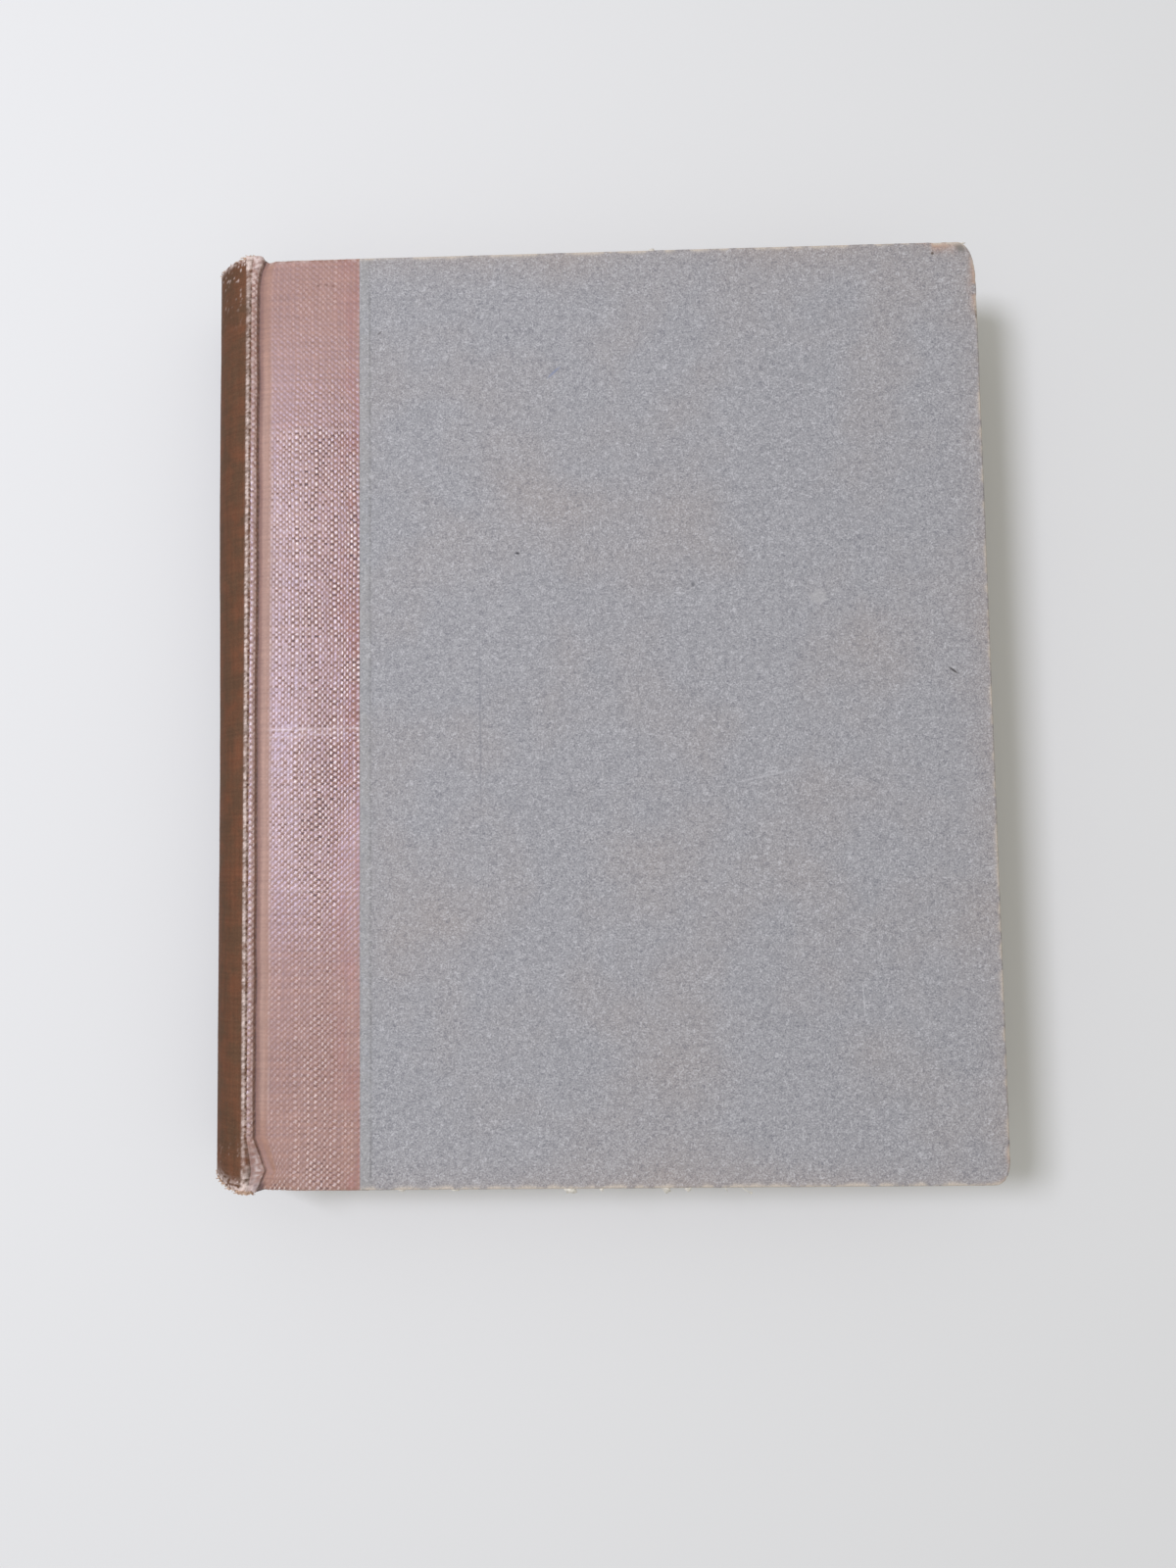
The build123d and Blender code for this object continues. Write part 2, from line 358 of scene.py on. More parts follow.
def clothPatch(name, sValues, seed):
    def noise(x, y, number):
        return softNoise(x, y, seed + number)

    s = np.asarray(sValues, float)[None, :]
    share, swing, back, straight, run, fold = [column[:, None] for column in rowTable.T]
    end = rowEnds[:, None]
    u, z, nu, nz = clothSection(s)
    side = np.where(s < 0, -1.0, 1.0)
    onBoard = ramp(u, -cloth["jointHalf"], 1.0)
    radius = cloth["capRound"] + (cloth["edgeRound"] - cloth["capRound"]) * onBoard
    boardDepth = clothHigh[2] - boardLow[2]
    depth = np.clip((np.abs(z) - boardTop + boardDepth) / np.clip(nz * side, 0.5, 1), 0, boardDepth)
    stack = cloth["spineStack"] + (depth - cloth["spineStack"]) * onBoard      # so the turn-in lies flat
    cap = capReach(s, end + share) * (1 - onBoard) * ramp(np.abs(share) + np.abs(end), 0.9, 1.0)
    reach = clothHalf - radius + cap
    upright = (stack - 2 * radius) * straight
    y = np.where(end == 0, share * reach, end * (reach + radius * swing - run))
    drop = radius * back + upright
    path = np.where(end == 0, share * reach, end * (reach + radius * fold + upright + run))

    # the groove swings to the board where its hinge corners are cut back
    tailGap = np.clip(clothHalf + y, 0, None)
    headGap = np.clip(clothHalf - y, 0, None)
    swerve = clothCurve(tailGap, "tailNip") + clothCurve(headGap, "headNip")
    swerve = swerve + 0.12 * noise(y / 9, side * 3, 0)
    fill = clothCurve(tailGap, "tailFill")
    near = band(u, *cloth["grooveBand"])
    uMoved = u + swerve * near
    zMoved = z + side * near * fill * np.clip(crest - 0.3 - np.abs(z), 0, None) * (1 - straight * onBoard)
    bow, bowReach = cloth["boardBow"]
    zMoved = zMoved - side * bow * np.clip(1 - u / bowReach, 0, 1) ** 2 * ramp(u, -0.3, 1.5) * (1 - straight)
    uMoved = uMoved - bulgeShift(u, y)
    nip = clothCurve(tailGap, "nipAlong") * band(u, *cloth["nipBand"])
    zMoved = zMoved - side * 0.35 * nip

    # threads wander a little and the weave is flatter where it was rubbed or pressed
    across = s / cloth["threadAcross"] + 0.3 * noise(y / 14, s / 5, 1) + 0.3 * noise(s / 1.3, 0, 12)
    along = path / cloth["threadAlong"] + 0.35 * noise(s / 11, y / 6, 2) + 0.25 * noise(0, y / 1.4, 13)
    twist, twistRise, twistFrom = cloth["twist"]
    twisted = across + (twist + twistRise * np.maximum(y, twistFrom)) * np.sin(2 * math.pi * along)
    overThread = np.sin(math.pi * twisted)
    bead = overThread * (overThread + cloth["floatWeight"] * np.sin(math.pi * along))      # 0 in the gaps
    thickThread = 1 + 0.35 * noise(np.floor(across) * 7.3, y / 12, 3)
    thickThread = thickThread + 0.35 * noise(np.floor(along) * 5.7, s / 9, 4)
    thickThread = thickThread + 0.45 * noise(np.floor(across), np.floor(along), 19)
    low, high = cloth["coarseZone"]
    fades = [(low + v, share) for v, share in cloth["tailFade"]]
    fades += [(high + v, share) for v, share in cloth["headFade"]]
    coarse = np.interp(y, *zip(*fades))
    coarse = coarse + 0.16 * ramp(u, 8, 18) * (1 - ramp(tailGap, 14, 30))      # coarser beside the paper
    coarse = coarse * (0.86 + 0.14 * noise(s / 8, y / 16, 5))
    coarse = coarse * (1 - 0.4 * ramp(u, 15, 24) * (1 - ramp(y, -34, -10))) * (0.76 + 0.24 * ramp(u, 5, 15))
    onCover = ramp(u, cloth["rubbedBand"] - 1.7, cloth["rubbedBand"] + 0.7)
    onRidge = band(u, *cloth["ridgeBand"])
    tailEnd = clothCurve(tailGap, "tailEnd")
    pressed = 1 - 0.8 * tailEnd
    cornerDrop = np.clip(1 - tailGap / 4, 0, 1) ** 2 * band(u, *cloth["cornerBand"])
    zMoved = zMoved - side * 0.6 * cornerDrop * (1 - straight)
    offCrease = np.abs(s) - creaseAt
    weave = coarse * onCover + (1 - onCover) * (0.12 + 0.55 * onRidge * pressed * ramp(offCrease, 0.2, 0.8))
    weave = np.clip(weave + 0.5 * cornerDrop, 0, 1.1)
    height = cloth["relief"] * weave * (0.5 * np.clip(bead, 0, 1.6) - 0.8) * np.clip(thickThread, 0.3, 1.6)
    height = height + 0.03 * noise(s / 4, y / 7, 6)
    frayed = noise(uMoved / 0.35, y / 0.35, 28)
    height = height + onRidge * (0.09 * tailEnd * frayed + bell(headGap, 0, 2.0) * (0.4 + 0.12 * frayed))

    # a few thick threads run right across the cloth
    slub = 0
    for where, amount in cloth["slubs"]:
        line = where + 0.4 * noise(s / 9, where, 14)
        slub = slub + amount * bell(y, line, 0.33) * onCover * (0.7 + 0.5 * noise(s / 1.5, where, 15))
    height = height + 0.08 * slub
    weave = weave * (1 - 0.55 * np.clip(slub, 0, 1))

    # pale rubbed threads: crest of the ridge, both caps, ends of the ridge; painted highlight on the band's
    # edge and painted sheen beside the hinge
    rubAndSheen = onRidge * ramp(noise(uMoved / 0.55, y / 0.5, 16), -0.6, 0.9) * rubAndSheenAmount["ridge"]
    rubAndSheen = rubAndSheen + rubAndSheenAmount["slub"] * slub
    # painted highlight: a pale line of beads where the band meets the cover
    beads = bell(u, cloth["rubbedBand"] - 0.1, 0.3) * ramp(tailGap, 12, 18) * ramp(headGap, 12, 45)
    rubAndSheen = rubAndSheen + rubAndSheenAmount["bandEdge"] * beads * (0.7 + 0.5 * noise(y / 0.8, side, 17))
    endWear = bell(tailGap, 0, 5) + bell(headGap, 0, 6)
    rubAndSheen = rubAndSheen + rubAndSheenAmount["ridgeEnds"] * endWear * onRidge * ramp(noise(uMoved / 0.6, y / 0.7, 8), -0.3, 0.6)
    rubAndSheen = rubAndSheen * (1 - 0.75 * nip)
    crestLine = bell(offCrease + 0.14 * noise(s / 0.25, y / 0.3, 27), 0.2, 0.28)
    crestLine = crestLine * (0.35 + 0.75 * ramp(noise(y / 0.4, side, 7) + 0.6 * frayed, -0.8, 0.5))
    least, more = rubAndSheenAmount["crestLine"]
    rubAndSheen = rubAndSheen + crestLine * (least + more * ramp(tailGap, 8, 24) * ramp(headGap, 5, 50))
    lump = clothCurve(tailGap, "lumpAlong") * bell(u, -1.05, 0.42)
    rubAndSheen = rubAndSheen + rubAndSheenAmount["lump"] * lump * ramp(frayed + 0.5 * noise(uMoved / 0.8, y / 1.1, 20), -0.5, 0.6)
    rimGap = clothHalf + capReach(s, y) - np.abs(y)
    fringe = bell(rimGap, 0, np.where(y < 0, 2.0, 0.9)) * (1 - onBoard)
    rubAndSheen = rubAndSheen + rubAndSheenAmount["fringe"] * fringe * ramp(noise(s / 0.45, y / 0.45, 21), -0.6, 0.3)
    headEdge = onBoard * bell(headGap, 0, 0.7)
    rubAndSheen = rubAndSheen + rubAndSheenAmount["headEdge"] * headEdge * ramp(noise(s / 0.8, path / 1.2, 22), 0.0, 0.6)
    spots = ramp(noise(s / 0.8, y / 1.2, 9) + 0.7 * noise(s / 0.35, y / 0.5, 25), 0.75, 1.1)
    rubAndSheen = rubAndSheen + rubAndSheenAmount["spots"] * spots * (1 - onBoard) * (bell(tailGap, 0, 7) + bell(headGap, 0, 9))
    turned = (1 - onBoard) * np.sin(np.clip(fold, 0, math.pi))
    rubAndSheen = rubAndSheen + rubAndSheenAmount["caps"] * turned * ramp(noise(s / 0.5, 0 * y, 10), -0.7, 0.5)
    bandShown = ramp(tailGap, 10, 22) * (0.35 + 0.65 * ramp(headGap, 12, 45))
    rubAndSheen = rubAndSheen + rubAndSheenAmount["groove"] * bandShown * (1 - onCover) * ramp(u, 0.4, 1.4)
    # painted sheen: paler toward the hinge across the coarse middle of the cover
    rubAndSheen = rubAndSheen + rubAndSheenAmount["cover"] * onCover * (1 - ramp(u, 4, 18)) * ramp(coarse, 0.5, 0.8)

    # painted shade in the crease at the foot of the ridge, along the groove and in the open fold at the tail;
    # nicks and the frayed tail of the ridge are darker marks of their own
    soilAndShade = soilAndShadeAmount["crease"] * bell(u, 0.08, 0.22) * (0.9 + 0.3 * noise(y / 0.5, side, 18))
    soilAndShade = soilAndShade + soilAndShadeAmount["nip"] * nip
    ragged = 0.25 * noise(s / 0.4, y / 0.6, 26)
    foot = ramp(u, -0.25, 0.2) * (1 - ramp(u + ragged, 0.6, 1.5)) * ramp(tailGap, 6, 16)
    soilAndShade = soilAndShade + soilAndShadeAmount["grooveFoot"] * foot
    hatch = band(u, *cloth["hatchBand"]) * ramp(noise(u / 0.6 - y / 0.5, y / 1.5, 23), -0.6, 0.5)
    soilAndShade = soilAndShade + soilAndShadeAmount["hatch"] * hatch * (1 - np.clip(lump * 3, 0, 1))
    # painted shade at the tail end of the groove
    soilAndShade = soilAndShade + bell(u, 0.4, 0.6) * (1 - ramp(tailGap, 1.0, 2.6))
    for away, where in cloth["nicks"]:
        soilAndShade = soilAndShade + soilAndShadeAmount["nicks"] * bell(u, away, 0.45) * bell(y, where, 0.25) * (side > 0)
    tailRidge = tailEnd * onRidge * (1 - lump) * ramp(frayed, -0.6, 0.6) * ramp(offCrease, 0.5, 1.0)
    soilAndShade = soilAndShade + soilAndShadeAmount["tailRidge"] * tailRidge
    # painted shade: the spine darker farther from the ridge
    soilAndShade = soilAndShade + soilAndShadeAmount["paintedShadeBack"] * ramp(-u, 3.2, 9)
    matt = ramp(u, -0.3, 0.3) * (1 - onCover) * (0.3 + 0.7 * bandShown)
    matt = matt + 0.8 * onRidge * (tailEnd + bell(headGap, 0, 30))
    smoothEnd = (1 - ramp(y, low - 24, low - 2)) + ramp(y, high + 8, high + 34)
    matt = matt + 0.2 * smoothEnd * onCover
    rust = ramp(u, 17, 23) * onCover * ramp(noise(s / 2.5, y / 5, 24), -0.5, 0.7)

    lift = height * np.cos(fold) - drop
    points = np.stack(np.broadcast_arrays(
        hingeX + uMoved + nu * lift,
        y + end * np.sin(fold) * height,
        midZ + zMoved + nz * lift), -1)
    shape = points.shape[:2]
    threads = np.stack(np.broadcast_arrays(across, along), -1).reshape(-1, 2)
    fields = {"rubAndSheen": rubAndSheen, "soilAndShade": soilAndShade, "rust": rust, "matt": matt}
    fields = {key: np.clip(np.broadcast_to(values, shape), 0, 1) for key, values in fields.items()}
    fields["weave"] = np.broadcast_to(weave, shape)
    return makeMesh(name, points.reshape(-1, 3), gridFaces(*shape), threads, fields)


# book cloth: plain-woven cotton, dyed brown, starch-filled and calendered
# so the raised threads shine; their pale tone is also a painted highlight, and the dark pit tone is painted
# shade
clothLook = {
    # the raised-thread tone is a painted highlight and the pit tone painted shade
    "cover": ("#a37b65", "#9b725b", "#e2d0c9", "#5a423b"),     # thread, stained thread, raised thread, pit
    # the spine's tones are darker than the cover's: partly its own browner cloth, partly painted shade
    "spine": ("#614734", "#7a4d36", "#7a5c46", "#33241b"),
    "sheen": "#d6daff",
    "worn": "#e6d2c8",
    # pale tone of rubbed thread, also used for painted highlight and sheen
    "rust": "#9c6a58",
    "streak": (1.0, 0.04),
    "fibreMm": 0.16,      # drawn coarser than real cotton fibre so that it shows
    # a finish: specular level, roughness, stain size in mm, depth of streaks and grain
    "coverFinish": (1.0, 0.31, 24, 0.11, 0.18),
    "spineFinish": (0.1, 0.6, 6, 0.09, 0.32),      # filler worn off by handling, so the spine is dull
    "pitRoughness": 0.7,
    "fibreRoughness": 0.12,
    "fibreHeight": 0.25,
    "rustShare": 0.5,
    "soilAndShadeShare": 0.8,
    "pitRange": (-0.4, 0.5, 1.0, 0.0),      # a range is from, to, and the share at both
    "crestRange": (0.3, 1.7, 0.0, 1.0),
    "chanceRange": (0.0, 1.0, 0.28, 1.22),
    "thinRange": (0.3, 0.7, 0.5, 1.5),      # thin threads leave wider gaps
    "stainRange": (0.42, 0.68, 0.0, 0.7),
    "topRange": (0.0, 0.8, 1.0, 0.1),
}


def bookclothMaterial(name, tones, finish):
    thread, stained, raisedHighlight, hollow = [hexColour(tone) for tone in tones]
    gloss, roughness, stainMm, streakDepth, grainDepth = finish
    m, add = newMaterial(name)
    place = add("TexCoord", {}, "Object")
    threads = add("UVMap", {}, uv_map="threads")
    fields = ("weave", "rubAndSheen", "soilAndShade", "rust", "matt")
    weave, rubAndSheen, soilAndShade, rust, dull = [add("Attribute", {}, "Fac", attribute_name=field) for field in fields]

    # the same beads as in the mesh
    counts = add("SeparateXYZ", [threads], None)
    across, along = [add("Math", [count, math.pi], operation="MULTIPLY") for count in counts.outputs[:2]]
    twice = add("Math", [along, 2.0], operation="MULTIPLY")
    lean = add("Math", [twice], operation="SINE")
    height = add("SeparateXYZ", [place], 1)
    twist, twistRise, twistFrom = cloth["twist"]
    height = add("Math", [height, twistFrom * mm], operation="MAXIMUM")
    twisting = add("Math", [height, math.pi * twistRise / mm, math.pi * twist], operation="MULTIPLY_ADD")
    across = add("Math", [lean, twisting, across], operation="MULTIPLY_ADD")
    acrossWave, alongWave = [add("Math", [angle], operation="SINE") for angle in (across, along)]
    bothWaves = add("Math", [alongWave, cloth["floatWeight"], acrossWave], operation="MULTIPLY_ADD")
    bead = add("Math", [acrossWave, bothWaves], operation="MULTIPLY")

    # pits between the threads, deeper by chance and where threads are thin
    cell = add("VectorMath", [threads], operation="FLOOR")
    chance = add("TexWhiteNoise", {"Vector": cell}, noise_dimensions="2D")
    pit = add("MapRange", [bead, *clothLook["pitRange"]], interpolation_type="SMOOTHSTEP")
    onBead = add("MapRange", [bead, *clothLook["crestRange"]], interpolation_type="SMOOTHSTEP")
    openness = add("MapRange", [chance, *clothLook["chanceRange"]])
    short, long = clothLook["streak"]
    streaks = []
    for stretch in ((short, long, 1), (long, short, 1)):      # single thick or thin threads, both ways
        drawn = add("Mapping", {"Vector": threads, "Scale": stretch})
        streaks.append(add("TexNoise", {"Vector": drawn, "Scale": 1.0, "Detail": 1.0}))
    thin = add("MapRange", [streaks[0], *clothLook["thinRange"]])
    for factor in (thin, weave, weave):
        openness = add("Math", [openness, factor], operation="MULTIPLY")
    pitShare = add("Math", [pit, openness], operation="MULTIPLY", use_clamp=True)
    crestShare = add("Math", [onBead, openness], operation="MULTIPLY", use_clamp=True)
    relief = add("Math", [crestShare, pitShare], operation="SUBTRACT")

    # tones of thread, pit (painted shade) and crest (painted highlight), then grain, wear with painted
    # highlight, dirt with painted shade
    fibre, stain = [
        add("TexNoise", {"Vector": place, "Scale": 1 / (size * mm), "Detail": detail, "Roughness": lumpy})
        for size, detail, lumpy in ((clothLook["fibreMm"], 2.0, 0.6), (stainMm, 6.0, 0.62))]
    stainShare = add("MapRange", [stain, *clothLook["stainRange"]])
    rustShare = add("Math", [rust, clothLook["rustShare"]], operation="MULTIPLY")
    soilAndShadeShare = add("Math", [soilAndShade, clothLook["soilAndShadeShare"]], operation="MULTIPLY")
    rusty, worn, sheen = [hexColour(clothLook[key]) for key in ("rust", "worn", "sheen")]
    colour = thread
    # the pit tone is painted shade between the threads, the raised tone a painted highlight on their tops
    for share, tone in ((stainShare, stained), (pitShare, hollow), (crestShare, raisedHighlight), (rustShare, rusty)):
        colour = add("Mix", {0: share, 6: colour, 7: tone}, 2, data_type="RGBA")
    grain = add("MapRange", [fibre, 0.3, 0.7, 1 - grainDepth, 1 + grainDepth])
    for streak in streaks:
        streak = add("MapRange", [streak, 0.25, 0.75, 1 - streakDepth, 1 + streakDepth])
        grain = add("Math", [grain, streak], operation="MULTIPLY")
    colour = add("VectorMath", {0: colour, "Scale": grain}, operation="SCALE")
    onTop = add("MapRange", [pitShare, *clothLook["topRange"]])
    # rubbed wear and painted highlight share the pale worn tone
    wornAndSheenShare = add("Math", [rubAndSheen, grain], operation="MULTIPLY", use_clamp=True)
    wornAndSheenShare = add("Math", [wornAndSheenShare, onTop], operation="MULTIPLY")
    # dirt and painted shade take the pit tone
    for share, tone in ((wornAndSheenShare, worn), (soilAndShadeShare, hollow)):
        colour = add("Mix", {0: share, 6: colour, 7: tone}, 2, data_type="RGBA")

    matt = pitShare
    for field in (soilAndShade, dull):
        matt = add("Math", [matt, field], operation="ADD")
    rough = add("MapRange", [matt, 0.0, 0.6, roughness, clothLook["pitRoughness"]])
    rough = add("Math", [fibre, clothLook["fibreRoughness"], rough], operation="MULTIPLY_ADD")
    bumpHeight = add("Math", [fibre, clothLook["fibreHeight"], relief], operation="MULTIPLY_ADD")
    bump = add("Bump", {"Strength": 0.5, "Distance": 0.06 * mm, "Height": bumpHeight})
    shader = add("BsdfPrincipled", {
        "Base Color": colour, "Roughness": rough, "Normal": bump,
        "Specular IOR Level": gloss, "Specular Tint": sheen})
    return finishMaterial(m, shader)


def stepsBetween(start, end, spacing):
    return np.linspace(start, end, max(2, int(round(abs(end - start) / spacing)) + 1))


bookcloth = bookclothMaterial("starchFilledBookcloth", clothLook["cover"], clothLook["coverFinish"])
spineClothPaintedShade = bookclothMaterial("rubbedBookclothPaintedShade", clothLook["spine"], clothLook["spineFinish"])
fineStep = cloth["threadAcross"] / cloth["samplesPerThread"]
wideStep = cloth["threadAcross"] / 2
paperLap = paperLow[0] - hingeX
lapAt = flatStart + paperLap - flatU + 0.7
frontCloth = clothPatch("front_quarter_cloth", [*stepsBetween(splitAt, lapAt, fineStep), clothEdge], 11)
frontJoint = clothPatch("front_joint_cloth", stepsBetween(crestMiddle, splitAt, fineStep), 11)
spineCloth = clothPatch("spine_cover_cloth", stepsBetween(-crestMiddle, crestMiddle, wideStep), 11)
backJoint = clothPatch("back_joint_cloth", stepsBetween(-splitAt, -crestMiddle, wideStep), 11)
backCloth = clothPatch("back_quarter_cloth", [-clothEdge, *stepsBetween(-lapAt, -splitAt, wideStep)], 11)
clothPieces = (frontCloth, frontJoint, spineCloth, backJoint, backCloth)
for piece in clothPieces:
    piece.data.materials.append(spineClothPaintedShade if piece is spineCloth else bookcloth)
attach(frontCloth, "front_cover")
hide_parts("front_cloth")
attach(spineCloth, "block")
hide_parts("spine_cloth")
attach(backCloth, "back_cover")
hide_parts("back_cloth")
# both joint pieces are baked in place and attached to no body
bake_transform(frontJoint)
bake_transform(backJoint)
print("book cloth:", sum(len(piece.data.polygons) for piece in clothPieces), "quads")

# paper sides, in millimetres; a worn corner is an ellipse, its width and its height
# a bare spot: edge, middle, half length, reach, strength
paper = {
    "alongStep": 0.5,
    "headCorner": (4.2, 9.0),
    "tailCorner": (3.3, 5.8),
    "arris": 0.55,
    "topInsets": (12, 9, 7, 5.5, 4.2, 3.2, 2.4, 1.8, 1.3, 0.9, 0.7),
    "turnIns": (1.2, 3, 6, 10, 15),
    "innerStep": 4,
    "lapRise": 0.1,
    "lapWidth": 2.3,
    "lapShift": 0.4,
    "nearLap": (0.8, 1.8, 2.8),
    "innerJitter": 0.3,
    "wearSizes": (2.2, 0.7),      # of the patches of wear, and of the grain in them
    "wearStops": (1.2, 0.3),      # up from the inner face, where wear fades and ends
    "edgeTone": 4,
    "edgeFade": (5, 3),      # in from the edge, where a bare spot starts and is full
    "sinkFade": (6, 2),
    "rubWidth": (0.55, 0.25),      # mean, and how much it varies
    "rubAtEnds": (0.7, 0.4),      # more at the tail, at the head
    "sink": (0.12, 0.04),      # depth of bare board, of rubbed paper
    "cockle": ((17, 0.035), (5, 0.015)),
    "frontBare": (("head", 163.9, 4.6, 1.7, 0.8), ("fore", 100.5, 6.5, 1.1, 0.9),
                  ("fore", -106, 4.5, 0.7, 0.7), ("fore", -84, 15, 0.4, 0.35), ("tail", 169, 4, 0.5, 0.5)),
    "backBare": (("head", 160, 5, 1.2, 0.7), ("fore", 103, 6, 1.0, 0.8), ("fore", -104, 6, 0.9, 0.8),
                 ("tail", 166, 5, 1.0, 0.7)),
}
paperLow[0] += paper["lapShift"]


# outline of a paper side set in by a distance, from the lap at the head round to the lap at the tail
def paperOutline(inset, counts):
    headCount, foreCount, tailCount = counts
    headX, headY = [max(v - inset, 0) for v in paper["headCorner"]]
    tailX, tailY = [max(v - inset, 0) for v in paper["tailCorner"]]
    fore = paperHigh[0] - inset
    half = paperHalf - inset
    turn = np.radians(np.linspace(0, 90, 17))[1:-1]
    headEdge = [(x, half) for x in np.linspace(paperLow[0], fore - headX, headCount)]
    headTurn = [(fore - headX + headX * math.sin(a), half - headY + headY * math.cos(a)) for a in turn]
    foreEdge = [(fore, y) for y in np.linspace(half - headY, tailY - half, foreCount)]
    tailTurn = [(fore - tailX + tailX * math.cos(a), tailY - half - tailY * math.sin(a)) for a in turn]
    tailEdge = [(x, -half) for x in np.linspace(fore - tailX, paperLow[0], tailCount)]
    return np.array(headEdge + headTurn + foreEdge + tailTurn + tailEdge)


def paperSide(name, face, bareSpots, seed):
    width = paperHigh[0] - paperLow[0]
    counts = [int(length / paper["alongStep"]) for length in (width, 2 * paperHalf, width)]
    arris = paper["arris"]
    quarter = np.radians([0, 22.5, 45, 67.5, 90])
    rings = [(inset, 0) for inset in paper["topInsets"]]
    rings += [(arris * (1 - math.sin(a)), arris * (1 - math.cos(a))) for a in quarter]
    rings += [(0, depth) for depth in np.linspace(arris, coverThickness - arris, 5)[1:]]
    rings += [(arris * (1 - math.cos(a)), coverThickness - arris * (1 - math.sin(a))) for a in quarter[1:]]
    rings += [(inset, coverThickness) for inset in paper["turnIns"]]
    loops = [paperOutline(inset, counts) for inset, depth in rings]
    count = len(loops[0])
    xy = np.concatenate(loops)
    depth = np.repeat([d for i, d in rings], count)
    inset = np.repeat([i for i, d in rings], count)
    faces = gridFaces(len(rings), count)

    # loose triangles over the flat middle, on a wide random grid
    rim = loops[0]
    draw = np.random.default_rng(seed)
    spacing = paper["innerStep"]
    margin = rings[0][0]
    flatHalf = paperHalf - margin
    leftColumn = [(paperLow[0], y) for y in np.arange(spacing - flatHalf, flatHalf - 1, spacing)]
    beside = [paperLow[0] + gap for gap in paper["nearLap"]]
    gx = np.concatenate([beside, np.arange(paperLow[0] + 5, paperHigh[0] - margin - 2, spacing)])
    gy = np.arange(2 - flatHalf, flatHalf - 1, spacing)
    inner = np.stack(np.meshgrid(gx, gy), -1).reshape(-1, 2)
    inner = inner + draw.uniform(-paper["innerJitter"], paper["innerJitter"], inner.shape)
    flat = [Vector(p) for p in (*rim, *leftColumn, *inner)]
    border = list(range(count + len(leftColumn)))
    edges = [(border[i], border[(i + 1) % len(border)]) for i in range(len(border))]
    verts, _, triangles, origins, _, _ = delaunay_2d_cdt(flat, edges, [], 1, 1e-6)
    base = len(xy)
    extra = np.array([list(v) for v in verts])
    number = []
    added = []
    for i, origin in enumerate(origins):
        if origin and origin[0] < count:
            number.append(origin[0])
        else:
            number.append(base + len(added))
            added.append(extra[i])
    xy = np.concatenate([xy, np.array(added)])
    depth = np.concatenate([depth, np.zeros(len(added))])
    inset = np.concatenate([inset, np.full(len(added), margin + 3.0)])
    faces = faces + [[number[i] for i in t] for t in triangles]

    # the cut edge of the paper along the lap, a step down to the cloth
    leftRing = [r * count for r in range(len(paper["topInsets"]) + 4)][::-1]
    rightRing = [first + count - 1 for first in leftRing[::-1]]
    leftInner = [n for n, p in zip(number, extra) if abs(p[0] - paperLow[0]) < 1e-4 and n >= base]
    leftInner = sorted(leftInner, key=lambda i: -xy[i][1])
    lap = leftRing + leftInner + rightRing
    first = len(xy)
    xy = np.concatenate([xy, xy[lap]])
    depth = np.concatenate([depth, depth[lap] + paperThickness])
    inset = np.concatenate([inset, inset[lap]])
    faces += [[lap[i + 1], lap[i], first + i, first + i + 1] for i in range(len(lap) - 1)]

    x, y = xy[:, 0], xy[:, 1]
    lapGap = x - paperLow[0]
    onTop = 1 - ramp(depth, 0.02, 0.3)
    rise = paper["lapRise"] * (1 - ramp(lapGap, paper["lapWidth"] - 0.4, paper["lapWidth"] + 0.5)) * onTop
    for layer, (size, amount) in enumerate(paper["cockle"], 1):
        rise = rise + amount * softNoise(x / size, y / size, seed + layer) * onTop

    # wear: pale rubbed paper along every arris, bare board at the corners
    fromArris = np.where(depth < arris, inset * onTop, depth - arris)
    patchSize, grainSize = paper["wearSizes"]
    around = softNoise(x / patchSize, y / patchSize, seed + 3)
    fine = softNoise(x / grainSize, y / grainSize, seed + 4)
    rubWidth, rubSpread = paper["rubWidth"]
    rubbed = bell(fromArris, 0, rubWidth + rubSpread * around) * ramp(around + 0.6 * fine, -0.75, 0.5)
    fades, ends = paper["wearStops"]
    outside = 1 - ramp(depth, coverThickness - fades, coverThickness - ends)
    start, full = paper["edgeFade"]
    sides = {"head": (y, paperHalf), "fore": (x, paperHigh[0]), "tail": (-y, paperHalf)}
    edgeWeight = {key: ramp(place, limit - start, limit - full) for key, (place, limit) in sides.items()}
    bare = 0
    for edge, middle, halfLength, reach, strength in bareSpots:
        along = y - middle if edge == "fore" else x - hingeX - middle
        patch = np.exp(-np.abs(along / halfLength) ** 3) * bell(fromArris, 0, reach * (1 + 0.4 * around))
        bare = bare + strength * edgeWeight[edge] * patch
    bare = bare * ramp(around + 0.5 * fine, -1.0, 0.3)
    moreTail, moreHead = paper["rubAtEnds"]
    rubbed = rubbed * (1 + moreTail * edgeWeight["tail"] + moreHead * edgeWeight["head"])
    rubbed = np.clip(rubbed * outside, 0, 1)
    bare = np.clip(bare * outside, 0, 1)
    bareSink, rubSink = paper["sink"]
    sink = bareSink * bare * (1 + 0.6 * fine) + rubSink * rubbed
    sideways = ramp(depth, 0.0, arris)
    start, full = paper["sinkFade"]
    x = x - sideways * sink * ramp(x, paperHigh[0] - start, paperHigh[0] - full)
    y = y - np.sign(y) * sideways * sink * ramp(np.abs(y), paperHalf - start, paperHalf - full)
    z = paperHigh[2] - midZ - depth + rise - sink * (1 - sideways)
    points = np.stack([x, y, midZ + face * z], -1)
    if face < 0:
        faces = [f[::-1] for f in faces]
    fromEdge = np.minimum(paperHigh[0] - x, paperHalf - np.abs(y))
